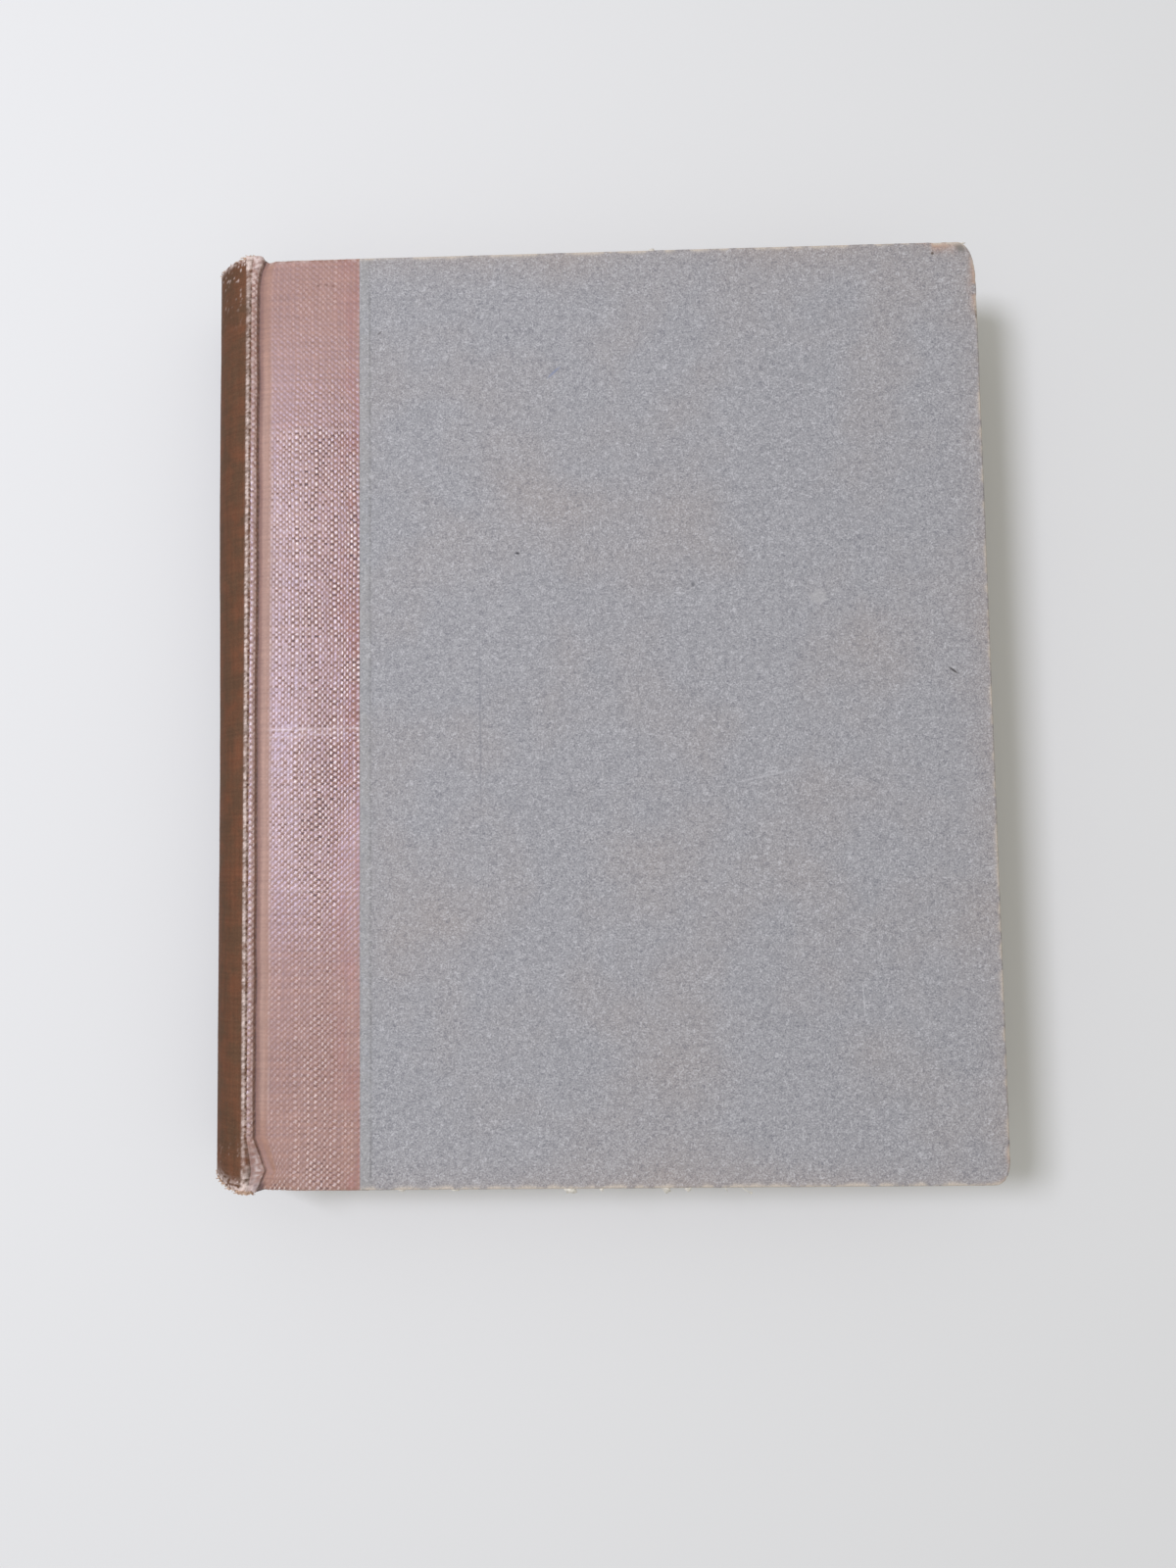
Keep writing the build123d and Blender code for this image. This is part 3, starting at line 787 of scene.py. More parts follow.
    fields = {
        "rubbed": rubbed,
        "bare": bare,
        "edge": np.exp(-fromEdge / paper["edgeTone"]),
        "lap": 1 - ramp(lapGap, paper["lapWidth"] - 0.7, paper["lapWidth"] + 0.3),
    }
    return makeMesh(name, points, faces, None, fields)


# cover paper: rough sugar paper of mixed grey, blue and fawn fibres, unsized, so it is matt and mottled
paperLook = {
    "grey": "#9e9d9f",
    "darkFibre": "#717178",
    "lightFibre": "#cccbcd",
    "fawn": "#a39a95",
    "lapTone": "#a5a49f",
    "lapCrease": "#828180",
    "rubbed": "#cfc3b4",
    "board": "#bd9377",
    # fibres, flocks and clouds: size in mm, detail, roughness, distortion; flocks a little coarser than real
    "patterns": ((0.9, 3.0, 0.62, 1.2), (0.38, 2.0, 0.7, 0.0), (30, 3.0, 0.5, 0.0)),
    "darkRange": (0.72, 0.98, 0.75, 0.0),      # a range is from, to, and the share at both
    "lightRange": (1.02, 1.28, 0.0, 0.75),
    "fawnRange": (0.45, 0.75, 0.0, 0.6),
    "edgeFawn": 0.6,
    "lapShare": 0.28,
    "creaseMm": (0.2, 0.45),      # how far past the lap, half width
    "creaseRange": (0.35, 0.65, 0.75, 0.1),
    "raggedRange": (0.7, 1.3, 0.7, 1.3),
    "tornRange": (0.35, 0.65, 0.6, 1.3),
    "roughRange": (0.3, 0.7, 0.82, 0.95),
}
# marks on the front: distance from hinge, height, half length and half width in mm, turn in degrees,
# colour, strength
frontMarks = [
    (62.5, 37.1, 0.75, 0.4, -8, "#4c4c50", 0.85),
    (104.0, 28.7, 0.6, 0.75, 0, "#66666a", 0.7),
    (164.3, 7.1, 1.6, 0.35, -38, "#3d3a38", 0.8),
    (29.7, 92.0, 0.9, 0.3, 40, "#5a5654", 0.6),
    (71.7, 81.1, 2.6, 0.4, 42, "#7f8aa8", 0.55),
    (53.3, -1.5, 31, 0.3, 90, "#85858a", 0.45),
    (122, -16.5, 12, 0.35, 12, "#bdbcbe", 0.5),
    (141.2, -69, 4.6, 0.3, 93, "#c2c1c2", 0.55),
    (133.5, 25.2, 2.6, 2.2, 0, "#b9b7b6", 0.5),
    (172.9, 93.5, 2.6, 0.5, 92, "#3a3330", 0.9),
    (169.6, 109.4, 1.9, 1.3, -40, "#74736d", 0.75),
    (163.0, 108.1, 0.45, 0.45, 0, "#4a4038", 0.9),
]


def coverPaperMaterial(name, marks):
    m, add = newMaterial(name)
    place = add("TexCoord", {}, "Object")
    fields = ("rubbed", "bare", "lap", "edge")
    rubbed, bare, lap, edge = [add("Attribute", {}, "Fac", attribute_name=field) for field in fields]
    patterns = []
    for size, detail, lumpy, bent in paperLook["patterns"]:
        pattern = {"Scale": 1 / (size * mm), "Detail": detail, "Roughness": lumpy, "Distortion": bent}
        patterns.append(add("TexNoise", {"Vector": place, **pattern}))
    fibre, flock, cloud = patterns
    mixed = add("Math", [fibre, flock], operation="ADD")
    darkShare = add("MapRange", [mixed, *paperLook["darkRange"]])
    lightShare = add("MapRange", [mixed, *paperLook["lightRange"]])
    fawn = add("MapRange", [cloud, *paperLook["fawnRange"]])
    fawnShare = add("Math", [edge, paperLook["edgeFawn"], fawn], operation="MULTIPLY_ADD", use_clamp=True)
    lapShare = add("Math", [lap, paperLook["lapShare"]], operation="MULTIPLY")

    # a faint darker line on the paper, just past the lap, over the edge of the cloth beneath
    sideways = add("SeparateXYZ", [place])
    pastLap, halfWidth = paperLook["creaseMm"]
    creaseX = (paperLow[0] + paper["lapWidth"] + pastLap) * mm
    fromCrease = add("Math", [sideways, creaseX], operation="SUBTRACT")
    fromCrease = add("Math", [fromCrease], operation="ABSOLUTE")
    crease = add("MapRange", [fromCrease, 0.0, halfWidth * mm, 1.0, 0.0], interpolation_type="SMOOTHSTEP")
    broken = add("MapRange", [fibre, *paperLook["creaseRange"]])
    creaseShare = add("Math", [crease, broken], operation="MULTIPLY")

    layers = [
        (fawnShare, paperLook["fawn"]),
        (darkShare, paperLook["darkFibre"]),
        (lightShare, paperLook["lightFibre"]),
        (lapShare, paperLook["lapTone"]),
        (creaseShare, paperLook["lapCrease"]),
    ]
    for away, height, length, width, turn, tint, strength in marks:
        local = add("Mapping", {
            "Vector": place, "Location": ((hingeX + away) * mm, height * mm, paperHigh[2] * mm),
            "Rotation": (0, 0, math.radians(turn)), "Scale": (length * mm, width * mm, 2 * mm)},
            vector_type="TEXTURE")
        ragged = add("MapRange", [mixed, *paperLook["raggedRange"]])
        ball = add("TexGradient", [local], 1, gradient_type="SPHERICAL")
        share = add("MapRange", [ball, 0.0, 0.55, 0.0, strength])
        share = add("Math", [share, ragged], operation="MULTIPLY", use_clamp=True)
        layers.append((share, tint))
    torn = add("MapRange", [flock, *paperLook["tornRange"]])
    for field, tone in ((bare, paperLook["board"]), (rubbed, paperLook["rubbed"])):
        share = add("Math", [field, torn], operation="MULTIPLY", use_clamp=True)
        layers.append((share, tone))
    colour = hexColour(paperLook["grey"])
    for share, tone in layers:
        colour = add("Mix", {0: share, 6: colour, 7: hexColour(tone)}, 2, data_type="RGBA")
    bump = add("Bump", {"Strength": 0.35, "Distance": 0.04 * mm, "Height": mixed})
    rough = add("MapRange", [fibre, *paperLook["roughRange"]])
    shader = add("BsdfPrincipled", {
        "Base Color": colour, "Roughness": rough, "Normal": bump, "Specular IOR Level": 0.25})
    return finishMaterial(m, shader)


frontPaper = paperSide("front_paper_cover", 1, paper["frontBare"], 31)
backPaper = paperSide("back_paper_cover", -1, paper["backBare"], 57)
frontPaper.data.materials.append(coverPaperMaterial("mottledSugarPaper", frontMarks))
backPaper.data.materials.append(coverPaperMaterial("mottledSugarPaperPlain", []))
for piece, cover in ((frontPaper, "front"), (backPaper, "back")):
    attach(piece, cover + "_cover")
    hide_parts(cover + "_paper_side")
print("paper sides:", len(frontPaper.data.polygons) + len(backPaper.data.polygons), "faces")

# boards under paper and cloth, with the same worn corners, in millimetres
board = {
    "hingeGap": 3.5,
    "tailCut": (3.6, 11),
    "headCut": (1.8, 5),
    "clearance": 0.32,
    "underCloth": 1.0,
    "overTurnIn": 0.25,
    "lapGap": 1.0,
    "outlinePoints": (12, 40, 12),
}


def boardSlab(name, face):
    outline = [tuple(p) for p in paperOutline(board["clearance"], board["outlinePoints"])]
    lapX = outline[0][0] + board["lapGap"]
    outline[0] = (lapX, outline[0][1])
    outline[-1] = (lapX, outline[-1][1])
    left = hingeX + board["hingeGap"]
    half = paperHalf - board["underCloth"]
    tailWide, tailTall = board["tailCut"]
    headWide, headTall = board["headCut"]
    outline += [(lapX, -half), (left + tailWide, -half), (left, -half + tailTall)]
    outline += [(left, half - headTall), (left + headWide, half), (lapX, half)]
    top = clothHigh[2] - board["underCloth"] / 2 - midZ
    low = boardLow[2] + board["overTurnIn"] - midZ
    points = [(x, y, midZ + face * level) for level in (top, low) for x, y in outline]
    faces = tubeFaces(0, 2, len(outline))
    if face < 0:
        faces = [f[::-1] for f in faces]
    piece = makeMesh(name, np.array(points), faces)
    piece.data.shade_flat()
    return piece


# a matt fibrous stuff in two tones: noise shares out the tones and raises the surface
def fibrousMaterial(name, look):
    m, add = newMaterial(name)
    place = add("TexCoord", {}, "Object")
    drawn = add("Mapping", {"Vector": place, "Scale": look["stretch"]})
    pattern = {"Scale": 1 / (look["grainMm"] * mm), "Detail": look["detail"], "Roughness": look["lumpy"]}
    grain = add("TexNoise", {"Vector": drawn, **pattern})
    layers = [(add("MapRange", [grain, *look["share"]]), look["tones"][1])]
    if "spots" in look:
        tone, size, share = look["spots"]
        spot = add("TexNoise", {"Vector": place, "Scale": 1 / (size * mm), "Detail": 4.0})
        layers.append((add("MapRange", [spot, *share]), tone))
    colour = hexColour(look["tones"][0])
    for share, tone in layers:
        colour = add("Mix", {0: share, 6: colour, 7: hexColour(tone)}, 2, data_type="RGBA")
    surface = {"Base Color": colour, "Roughness": look["roughness"], "Specular IOR Level": look["specular"]}
    if "relief" in look:
        strength, depth = look["relief"]
        bump = {"Strength": strength, "Distance": depth * mm, "Height": grain}
        surface["Normal"] = add("Bump", bump)
    return finishMaterial(m, add("BsdfPrincipled", surface))


# strawboard: pressed straw pulp in layers, matt tan with darker shives
strawLook = {
    "tones": ("#ad8155", "#7f5a38"),
    "grainMm": 0.8,
    "stretch": (1, 1, 1 / 0.35),      # the pulp lies in flat layers
    "detail": 4.0,
    "lumpy": 0.7,
    "share": (0.4, 0.7, 0.0, 1.0),
    "relief": (0.4, 0.06),
    "roughness": 0.9,
    "specular": 0.2,
}
strawboard = fibrousMaterial("pressedStrawboard", strawLook)
for face, cover in ((1, "front"), (-1, "back")):
    piece = boardSlab(cover + "_strawboard", face)
    piece.data.materials.append(strawboard)
    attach(piece, cover + "_cover")
    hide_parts(cover + "_board")
print("boards built")

# pages: leaves stacked in gatherings, each a little out of line, in millimetres
pages = {
    "leaves": 112,
    "perGathering": 8,
    "hollow": 5.0,
    "foreJitter": 0.16,
    "headJitter": 0.1,
    "gatheringJitter": 0.3,
    "gatheringCrack": 0.25,
    "edgeWave": 0.05,
    "stackDepth": 1.9,
    "edgePoints": (44, 60, 44, 6),
}


def pageBlock(name, seed):
    draw = np.random.default_rng(seed)
    low, high = 2 * midZ - pasteLow[2], pasteLow[2]
    levels = np.linspace(low, high, pages["leaves"] + 1)
    rows = [np.linspace(0, 1, count) for count in pages["edgePoints"]]
    headShares, foreShares, tailShares, backShares = rows
    jitter = (pages["foreJitter"], pages["headJitter"], pages["headJitter"])
    span = (high - low) / 2
    innerRadius = backRadius - pages["stackDepth"]
    centreX = hingeX - bulge + backRadius
    points = []
    gathering = None
    for leaf in range(pages["leaves"]):
        if leaf % pages["perGathering"] == 0:
            gathering = draw.normal(0, pages["gatheringJitter"], 3)
        offset = draw.normal(0, 1, 3) * jitter + 0.4 * gathering
        crack = pages["gatheringCrack"] if leaf % pages["perGathering"] == 0 else 0.0
        middle = (levels[leaf] + levels[leaf + 1]) / 2 - midZ
        fore = pageHigh[0] - pages["hollow"] * (1 - (middle / span) ** 2) - abs(offset[0]) - crack
        head = pageHalf - abs(offset[1]) - crack
        tail = -pageHalf + abs(offset[2]) + crack
        spine = centreX - math.sqrt(max(innerRadius ** 2 - middle ** 2, 0))
        wave = pages["edgeWave"] * draw.normal(0, 1, 4)
        headRow = [(spine + (fore - spine) * v, head + wave[0] * math.sin(5 * v + leaf)) for v in headShares]
        foreRow = [(fore + wave[1] * math.sin(7 * v + leaf), head + (tail - head) * v) for v in foreShares]
        tailRow = [(fore + (spine - fore) * v, tail + wave[2] * math.sin(6 * v + leaf)) for v in tailShares]
        backRow = [(spine, tail + (head - tail) * v) for v in backShares]
        loop = headRow + foreRow[1:-1] + tailRow + backRow[1:-1]
        points += [(x, y, levels[leaf]) for x, y in loop]
        points += [(x, y, levels[leaf + 1]) for x, y in loop]
    rings = 2 * pages["leaves"]
    faces = [f[::-1] for f in tubeFaces(0, rings, len(points) // rings)]
    piece = makeMesh(name, np.array(points), faces)
    piece.data.shade_flat()
    return piece


# shoulders of the backed pages, two tapered bars under the cloth ridges, in millimetres
shoulder = {
    "flank": -1.15,
    "back": (-2.75, -2.6),
    "underCrest": 0.5,
    "bevel": 0.5,
    "slope": 0.05,
    "sunk": 0.05,
    "endGap": 0.4,
}


def shoulderBars(name):
    points = []
    faces = []
    for side in (1, -1):
        first = len(points)
        flank = hingeX + shoulder["flank"]
        inner = pasteLow[2] - midZ - shoulder["sunk"]
        outer = crest - shoulder["underCrest"]
        bevel = shoulder["bevel"]
        backTop, backFoot = [hingeX + u for u in shoulder["back"]]
        section = [(flank, inner), (flank, outer - bevel), (flank - bevel, outer)]
        section += [(backTop, outer - shoulder["slope"]), (backFoot, inner)]
        half = pageHalf - shoulder["endGap"]
        for y in (-half, half):
            points += [(x, y, midZ + side * z) for x, z in section]
        new = tubeFaces(first, 2, len(section))
        faces += [f[::-1] for f in new] if side > 0 else new
    piece = makeMesh(name, np.array(points), faces)
    piece.data.shade_flat()
    return piece


# book paper: wove rag and wood pulp, its cut edges toned from leaf to leaf and dusty in spots
pageLook = {
    "tones": ("#f0e4d2", "#dcc5a8"),
    "grainMm": 0.22,
    "stretch": (0.02, 0.02, 1),      # long streaks, one to a leaf
    "detail": 3.0,
    "lumpy": 0.7,
    "share": (0.35, 0.7, 0.0, 0.9),
    "spots": ("#cbb294", 6, (0.5, 0.75, 0.0, 0.6)),
    "relief": (0.3, 0.05),
    "roughness": 0.88,
    "specular": 0.25,
}

# endpaper: smooth wove sheet, cream, browned toward its edges in faint clouds
endpaperLook = {
    "cream": "#e2d8c4",
    "brown": "#bfa682",
    "patterns": ((0.5, 2.0), (45, 4.0)),      # grain and clouds: size in mm, detail
    "edgeMm": 24,
    "cloudRange": (0.35, 0.75, 0.05, 0.35),
    "rimShare": 0.4,
    "roughRange": (0.3, 0.7, 0.75, 0.9),
}


def endpaperMaterial():
    m, add = newMaterial("creamWoveEndpaper")
    place = add("TexCoord", {}, "Object")
    grain, cloud = [
        add("TexNoise", {"Vector": place, "Scale": 1 / (size * mm), "Detail": detail})
        for size, detail in endpaperLook["patterns"]]
    corner = add("SeparateXYZ", [place], None)
    fromMiddle = add("Math", [corner.outputs[1]], operation="ABSOLUTE")
    edgeMm = endpaperLook["edgeMm"]
    ends, fore = [
        add("MapRange", [where, (edge - edgeMm) * mm, edge * mm], interpolation_type="SMOOTHSTEP")
        for where, edge in ((fromMiddle, pageHalf), (corner.outputs[0], pageHigh[0]))]
    rim = add("Math", [ends, fore], operation="MAXIMUM")
    share = add("MapRange", [cloud, *endpaperLook["cloudRange"]])
    share = add("Math", [rim, endpaperLook["rimShare"], share], operation="MULTIPLY_ADD")
    cream, brown = [hexColour(endpaperLook[key]) for key in ("cream", "brown")]
    colour = add("Mix", {0: share, 6: cream, 7: brown}, 2, data_type="RGBA")
    bump = add("Bump", {"Strength": 0.25, "Distance": 0.02 * mm, "Height": grain})
    rough = add("MapRange", [grain, *endpaperLook["roughRange"]])
    shader = add("BsdfPrincipled", {
        "Base Color": colour, "Roughness": rough, "Normal": bump, "Specular IOR Level": 0.3})
    return finishMaterial(m, shader)


bookPaper = fibrousMaterial("tonedBookPaper", pageLook)
endpaper = endpaperMaterial()
leaves = pageBlock("page_leaves", 71)
leaves.data.materials.append(bookPaper)
leaves.data.materials.append(endpaper)
for polygon in leaves.data.polygons:
    if len(polygon.vertices) > 4:
        polygon.material_index = 1
shoulders = shoulderBars("page_shoulders")
shoulders.data.materials.append(bookPaper)
for piece in (leaves, shoulders):
    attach(piece, "block")
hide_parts("text_block")
print("pages:", len(leaves.data.polygons), "faces")

# folds of the endpapers, from the first leaf round the gutter to the pasted-down half, in millimetres
fold = {
    "onLeaf": 2.4,
    "onPaste": 2.1,
    "gutter": -0.4,
    "gutterRound": 0.05,
    "lowerLift": 0.015,
    "upperLift": 0.11,
    "turnSteps": 15,
    "flatSteps": 5,
    "rows": 60,
    "endGap": 0.2,
    "blendInset": 0.002,
}


def endpaperFold(name, face):
    base = pasteLow[2] - midZ
    lowLayer = base + fold["lowerLift"]
    highLayer = base + fold["upperLift"]
    section = [(u, lowLayer) for u in np.linspace(fold["onLeaf"], fold["gutter"], fold["flatSteps"])]
    rise = np.linspace(0, 1, fold["turnSteps"] + 2)[1:-1]
    turned = fold["gutter"] - fold["gutterRound"] * np.sin(math.pi * rise)
    section += [(u, lowLayer + (highLayer - lowLayer) * v) for u, v in zip(turned, rise)]
    section += [(u, highLayer) for u in np.linspace(fold["gutter"], fold["onPaste"], fold["flatSteps"])]
    half = pasteHigh[1] - fold["endGap"]
    ys = np.linspace(-half, half, fold["rows"])
    points = [(hingeX + u, y, midZ + face * z) for y in ys for u, z in section]
    faces = gridFaces(len(ys), len(section))
    if face > 0:
        faces = [f[::-1] for f in faces]
    return makeMesh(name, np.array(points), faces), lowLayer, highLayer


for face, cover in ((1, "front"), (-1, "back")):
    piece, lowLayer, highLayer = endpaperFold(cover + "_endpaper_fold", face)
    piece.data.materials.append(endpaper)
    if face > 0:
        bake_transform(piece)
    else:
        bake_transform(piece)
print("endpaper folds built")

# plain CAD nodes that stay: pasted-down endpapers, mull lining and spine card
# mull: open cotton gauze soaked in glue, a coarse pale net over amber
mullLook = {
    "gauze": "#cbbf9f",
    "glue": "#94805a",
    "meshMm": 1.1,
    "netRange": (0.05, 0.2, 0.0, 1.0),
    "roughness": 0.75,
}
# manila card rolled to the spine: matt brown with long faint fibres
cardLook = {
    "tones": ("#9a8566", "#7c6849"),
    "grainMm": 0.9,
    "stretch": (1, 0.15, 1),
    "detail": 4.0,
    "lumpy": 0.65,
    "share": (0.0, 1.0, 0.0, 1.0),
    "relief": (0.3, 0.05),
    "roughness": 0.85,
    "specular": 0.5,
}


def mullMaterial():
    m, add = newMaterial("starchedCottonMull")
    place = add("TexCoord", {}, "Object")
    net = {"Vector": place, "Scale": 1 / (mullLook["meshMm"] * mm), "Randomness": 0.25}
    net = add("TexVoronoi", net, feature="DISTANCE_TO_EDGE")
    share = add("MapRange", [net, *mullLook["netRange"]])
    gauze, glue = [hexColour(mullLook[key]) for key in ("gauze", "glue")]
    colour = add("Mix", {0: share, 6: gauze, 7: glue}, 2, data_type="RGBA")
    bump = add("Bump", {"Strength": 0.5, "Distance": 0.1 * mm, "Height": net}, invert=True)
    surface = {"Base Color": colour, "Roughness": mullLook["roughness"], "Normal": bump}
    return finishMaterial(m, add("BsdfPrincipled", surface))


nodeLooks = {
    "front_pastedown": endpaper,
    "back_pastedown": endpaper,
    "spine_lining": mullMaterial(),
    "spine_inlay": fibrousMaterial("rolledManilaCard", cardLook),
}
for node, look in nodeLooks.items():
    data = frame["nodes"][node].data
    data.materials.clear()
    data.materials.append(look)
print("plain nodes dressed:", len(nodeLooks))


# threads: a direction that none of them follows, and how much thinner the tip is
tube = {"crossed": (0.31, 0.22, 0.92), "taper": 0.55}


# a bent tube along a three-point curve, added to lists of points and faces
def addTube(points, faces, ends, radius, sides=5, steps=7):
    first = len(points)
    a, b, c = [np.array(p, float) for p in ends]
    t = np.linspace(0, 1, steps)[:, None]
    path = (1 - t) ** 2 * a + 2 * t * (1 - t) * b + t ** 2 * c
    for i in range(steps):
        ahead = path[min(i + 1, steps - 1)] - path[max(i - 1, 0)]
        ahead = ahead / np.linalg.norm(ahead)
        side = np.cross(ahead, tube["crossed"])
        side = side / np.linalg.norm(side)
        over = np.cross(ahead, side)
        thin = radius * (1 - tube["taper"] * (i / (steps - 1)) ** 2)
        for k in range(sides):
            angle = 2 * math.pi * k / sides
            points.append(path[i] + thin * (math.cos(angle) * side + math.sin(angle) * over))
    faces += tubeFaces(first, steps, sides)


# frayed ends of cotton on the caps and ridges, in millimetres
fray = {
    "headCount": 80,
    "tailCount": 210,
    "radius": (0.07, 0.16),
    "length": (0.6, 1.7),
    "onRidge": 0.45,      # share of the threads that stand on the ridges
    "ridgeSpread": (-1.2, 2.4),
    "rimDepth": (0.0, 0.6),
    "rootDepth": 0.15,
    "sway": 0.6,
    "bend": (0.3, 0.25, 0.3),      # along the book, outward, sideways, as shares of the length
    "tipAlong": (-0.2, 0.5),
    "tipOut": (-0.1, 0.3),
}
# undyed core of the cloth's cotton threads: pale, matt, slightly hairy
threadLook = {
    "tones": ("#d6b9a0", "#94705a"),
    "grainMm": 0.8,
    "stretch": (1, 1, 1),
    "detail": 3.0,
    "lumpy": 0.5,
    "share": (0.4, 0.7, 0.0, 1.0),
    "roughness": 0.85,
    "specular": 0.3,
}


def frayedThreads(name, end, count, seed):
    draw = np.random.default_rng(seed)
    bendAlong, bendOut, bendAside = fray["bend"]
    sunk = fray["rootDepth"]
    points = []
    faces = []
    for i in range(count):
        onRidge = draw.random() < fray["onRidge"]
        s = creaseAt + draw.uniform(*fray["ridgeSpread"]) if onRidge else draw.uniform(-creaseAt, creaseAt)
        u, z, nu, nz = [v[0] for v in clothSection(np.array([s]))]
        length = draw.uniform(*fray["length"])
        rim = clothHalf + float(capReach(s, end)) - draw.uniform(*fray["rimDepth"])
        u = u - float(bulgeShift(u, end * rim))
        root = np.array([hingeX + u - sunk * nu, end * rim, midZ + z - sunk * nz])
        out = np.array([nu, 0, nz])
        along = np.array([0, end, 0])
        sway = np.array([-nz, 0, nu]) * draw.normal(0, fray["sway"])
        middle = root + length * (bendAlong * along + bendOut * out + bendAside * sway)
        tipAlong = draw.uniform(*fray["tipAlong"])
        tip = root + length * (tipAlong * along + draw.uniform(*fray["tipOut"]) * out + sway)
        addTube(points, faces, (root, middle, tip), draw.uniform(*fray["radius"]))
    return makeMesh(name, np.array(points), faces)


cottonThread = fibrousMaterial("rubbedCottonThread", threadLook)
for end, count, label in ((1, fray["headCount"], "head"), (-1, fray["tailCount"], "tail")):
    piece = frayedThreads(label + "_cap_frayed_threads", end, count, 90 + end)
    piece.data.materials.append(cottonThread)
    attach(piece, "block")
print("frayed threads built")

# torn flakes of paper on the front cover's edges: distance from hinge, end, width, reach in millimetres
flakes = {
    "thickness": 0.12,
    "corners": 12,
    "underTop": 0.35,
    "overlap": 0.5,
    "inEdge": 0.1,
    "ragged": (-0.28, 0.22),
    "tilt": (-0.35, 0.15),
    "curl": 0.18,
    "places": ((34.3, -1, 1.6, 0.5), (46.7, -1, 2.0, 0.4), (73.1, -1, 3.2, 1.2), (80.3, -1, 0.9, 0.7),
               (95.1, -1, 1.9, 1.2), (100.0, -1, 1.5, 0.9), (95.8, 1, 1.8, 0.5), (170.4, 1, 1.1, -0.1)),
    "knobThread": (113.4, 1.9, 0.28),
    "shortThread": (108.5, 1.1),
}
# torn cover paper: pale loose pulp with grey fibres
tornLook = {
    "tones": ("#e6e1d4", "#b1aca3"),
    "grainMm": 0.6,
    "stretch": (1, 1, 1),
    "detail": 3.0,
    "lumpy": 0.5,
    "share": (0.45, 0.75, 0.0, 0.9),
    "relief": (0.4, 0.05),
    "roughness": 0.9,
    "specular": 0.2,
}


def tornFlakes(name, seed):
    draw = np.random.default_rng(seed)
    points = []
    faces = []
    top = paperHigh[2] - flakes["underTop"]
    overlap = flakes["overlap"]
    for away, end, width, reach in flakes["places"]:
        first = len(points)
        count = flakes["corners"]
        outline = []
        for k in range(count):
            angle = 2 * math.pi * k / count
            size = 1 + draw.uniform(*flakes["ragged"])
            outward = 0.5 * (reach + overlap) * (math.sin(angle) * size + 1) - overlap
            outline.append((0.5 * width * math.cos(angle) * size, outward))
        tilt = draw.uniform(*flakes["tilt"])
        for lift in (0, -flakes["thickness"]):
            for x, y in outline:
                z = top + lift + tilt * y + flakes["curl"] * y * y
                points.append((hingeX + away + x, end * (paperHalf - flakes["inEdge"] + y), z))
        new = tubeFaces(first, 2, count)
        faces += [f[::-1] for f in new] if end > 0 else new
    away, reach = flakes["shortThread"]
    root = np.array([hingeX + away, -paperHalf + 0.2, top])
    addTube(points, faces, (root, root + (0.2, -0.6 * reach, 0.1), root + (0.6, -reach, -0.1)), 0.1)
    away, reach, knob = flakes["knobThread"]
    root = np.array([hingeX + away - 1.0, -paperHalf + 0.2, top])
    tip = root + (reach, -1.35, -0.1)
    addTube(points, faces, (root, root + (0.5, -0.9, 0.1), tip), 0.12)
    knobEnds = (tip - (0.2, -0.05, 0), tip + (0.1, -0.12, 0.02), tip + (0.35, -0.1, -0.03))
    addTube(points, faces, knobEnds, knob, 8, 6)
    return makeMesh(name, np.array(points), faces)


tornBits = tornFlakes("front_edge_torn_flakes", 5)
tornBits.data.materials.append(fibrousMaterial("tornPulpPaper", tornLook))
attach(tornBits, "front_cover")
print("torn flakes built")

# studio: pale floor, one large soft lamp up and to the left, even sky; lengths in metres
studio = {
    "floorSize": 16.0,
    "floorFade": (0.27, 0.95),
    "floorDrop": 0.0002,      # a hair under the book, so that the back cover laid right open shows on it
    "floorSeen": "#e4e4e2",
    "floorBounce": "#8e8e8a",
    "lampPlace": (-0.52, 0.17, 1.0),
    "lampSize": 0.28,
    "lampPower": 8.0,
    "lampColour": "#eef0ff",
    "skyZenith": "#dad9d4",
    "skyHorizon": "#7a7a78",
    "skySeen": "#eeeeec",
}


# 1 for rays that carry a picture: to the camera, by a gloss or through glass
def seenRays(owner):
    rays = addNode(owner, "LightPath", {}, None)
    seen = rays.outputs["Is Camera Ray"]
    for kind in ("Is Glossy Ray", "Is Transmission Ray"):
        seen = addNode(owner, "Math", [seen, rays.outputs[kind]], operation="MAXIMUM")
    return seen


half = studio["floorSize"] / 2
floorMesh = bpy.data.meshes.new("studioFloor")
floorCorners = [(-half, -half, 0), (half, -half, 0), (half, half, 0), (-half, half, 0)]
floorMesh.from_pydata(floorCorners, [], [(0, 1, 2, 3)])
floor = bpy.data.objects.new("studioFloor", floorMesh)
floor.location = (0, 0, -studio["floorDrop"])
bpy.context.scene.collection.objects.link(floor)
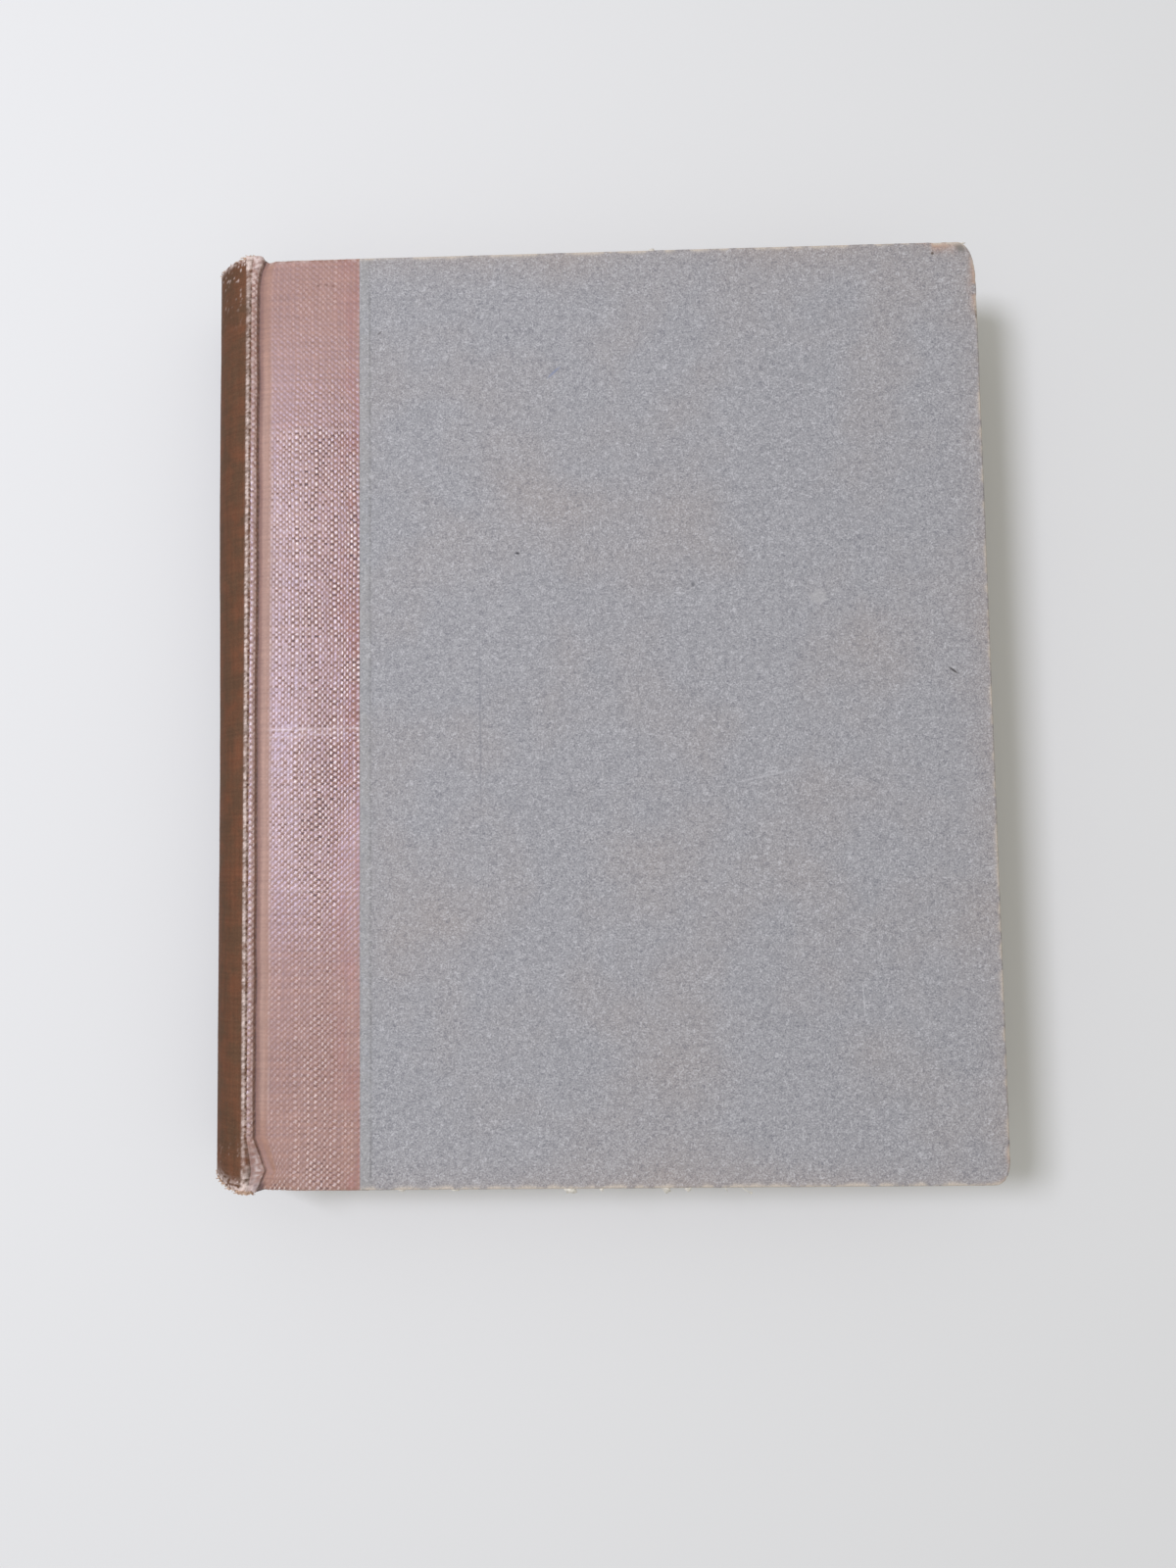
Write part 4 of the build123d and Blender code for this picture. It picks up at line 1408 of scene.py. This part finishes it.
# matt paint, pale to the camera and in gloss, dark to bounced light
floorPaint, add = newMaterial("mattFloorPaint")
seen = seenRays(floorPaint)
bounce, pale = [hexColour(studio[key]) for key in ("floorBounce", "floorSeen")]
floorTone = add("Mix", {0: seen, 6: bounce, 7: pale}, 2, data_type="RGBA")
painted = add("BsdfDiffuse", {"Color": floorTone})
backdrop = add("Emission", {"Color": hexColour(studio["skySeen"])})
place = add("TexCoord", {}, "Object")
away = add("VectorMath", [place], "Value", operation="LENGTH")
far = add("MapRange", [away, *studio["floorFade"]], interpolation_type="SMOOTHSTEP")
far = add("Math", [far, seen], operation="MULTIPLY")
finishMaterial(floorPaint, add("MixShader", [far, painted, backdrop]))
floorMesh.materials.append(floorPaint)

lampData = bpy.data.lights.new("softLamp", "AREA")
lampData.shape = "SQUARE"
lampData.size = studio["lampSize"]
lampData.energy = studio["lampPower"]
lampData.color = hexColour(studio["lampColour"])[:3]
lamp = bpy.data.objects.new("softLamp", lampData)
lamp.location = studio["lampPlace"]
lamp.rotation_euler = (-Vector(studio["lampPlace"])).to_track_quat("-Z", "Y").to_euler()
bpy.context.scene.collection.objects.link(lamp)

world = bpy.data.worlds.new("evenSky")
world.use_nodes = True
world.node_tree.nodes.clear()
direction = addNode(world, "TexCoord", {}, "Generated")
height = addNode(world, "SeparateXYZ", [direction], 2)
overhead = addNode(world, "MapRange", [height, 0.0, 1.0, 0.0, 1.0])
skyTone = hexColour(studio["skyHorizon"])
for share, key in ((overhead, "skyZenith"), (seenRays(world), "skySeen")):
    skyTone = addNode(world, "Mix", {0: share, 6: skyTone, 7: hexColour(studio[key])}, 2, data_type="RGBA")
sky = addNode(world, "Background", {"Color": skyTone})
addNode(world, "OutputWorld", {"Surface": sky}, None)
bpy.context.scene.world = world

# camera nearly overhead, in metres and degrees
shot = {"place": (0.00555, -0.0379, 0.3045), "turn": (4.085, 1.58, -0.83), "lens": 27.0, "sensor": 36.0}
cameraData = bpy.data.cameras.new("photoCamera")
cameraData.sensor_width = shot["sensor"]
cameraData.sensor_fit = "AUTO"
cameraData.lens = shot["lens"]
cameraData.clip_start = 0.01
camera = bpy.data.objects.new("photoCamera", cameraData)
camera.location = shot["place"]
camera.rotation_euler = [math.radians(v) for v in shot["turn"]]
bpy.context.scene.collection.objects.link(camera)
bpy.context.scene.camera = camera
bpy.context.scene.view_settings.view_transform = "Standard"
print("studio and camera set")
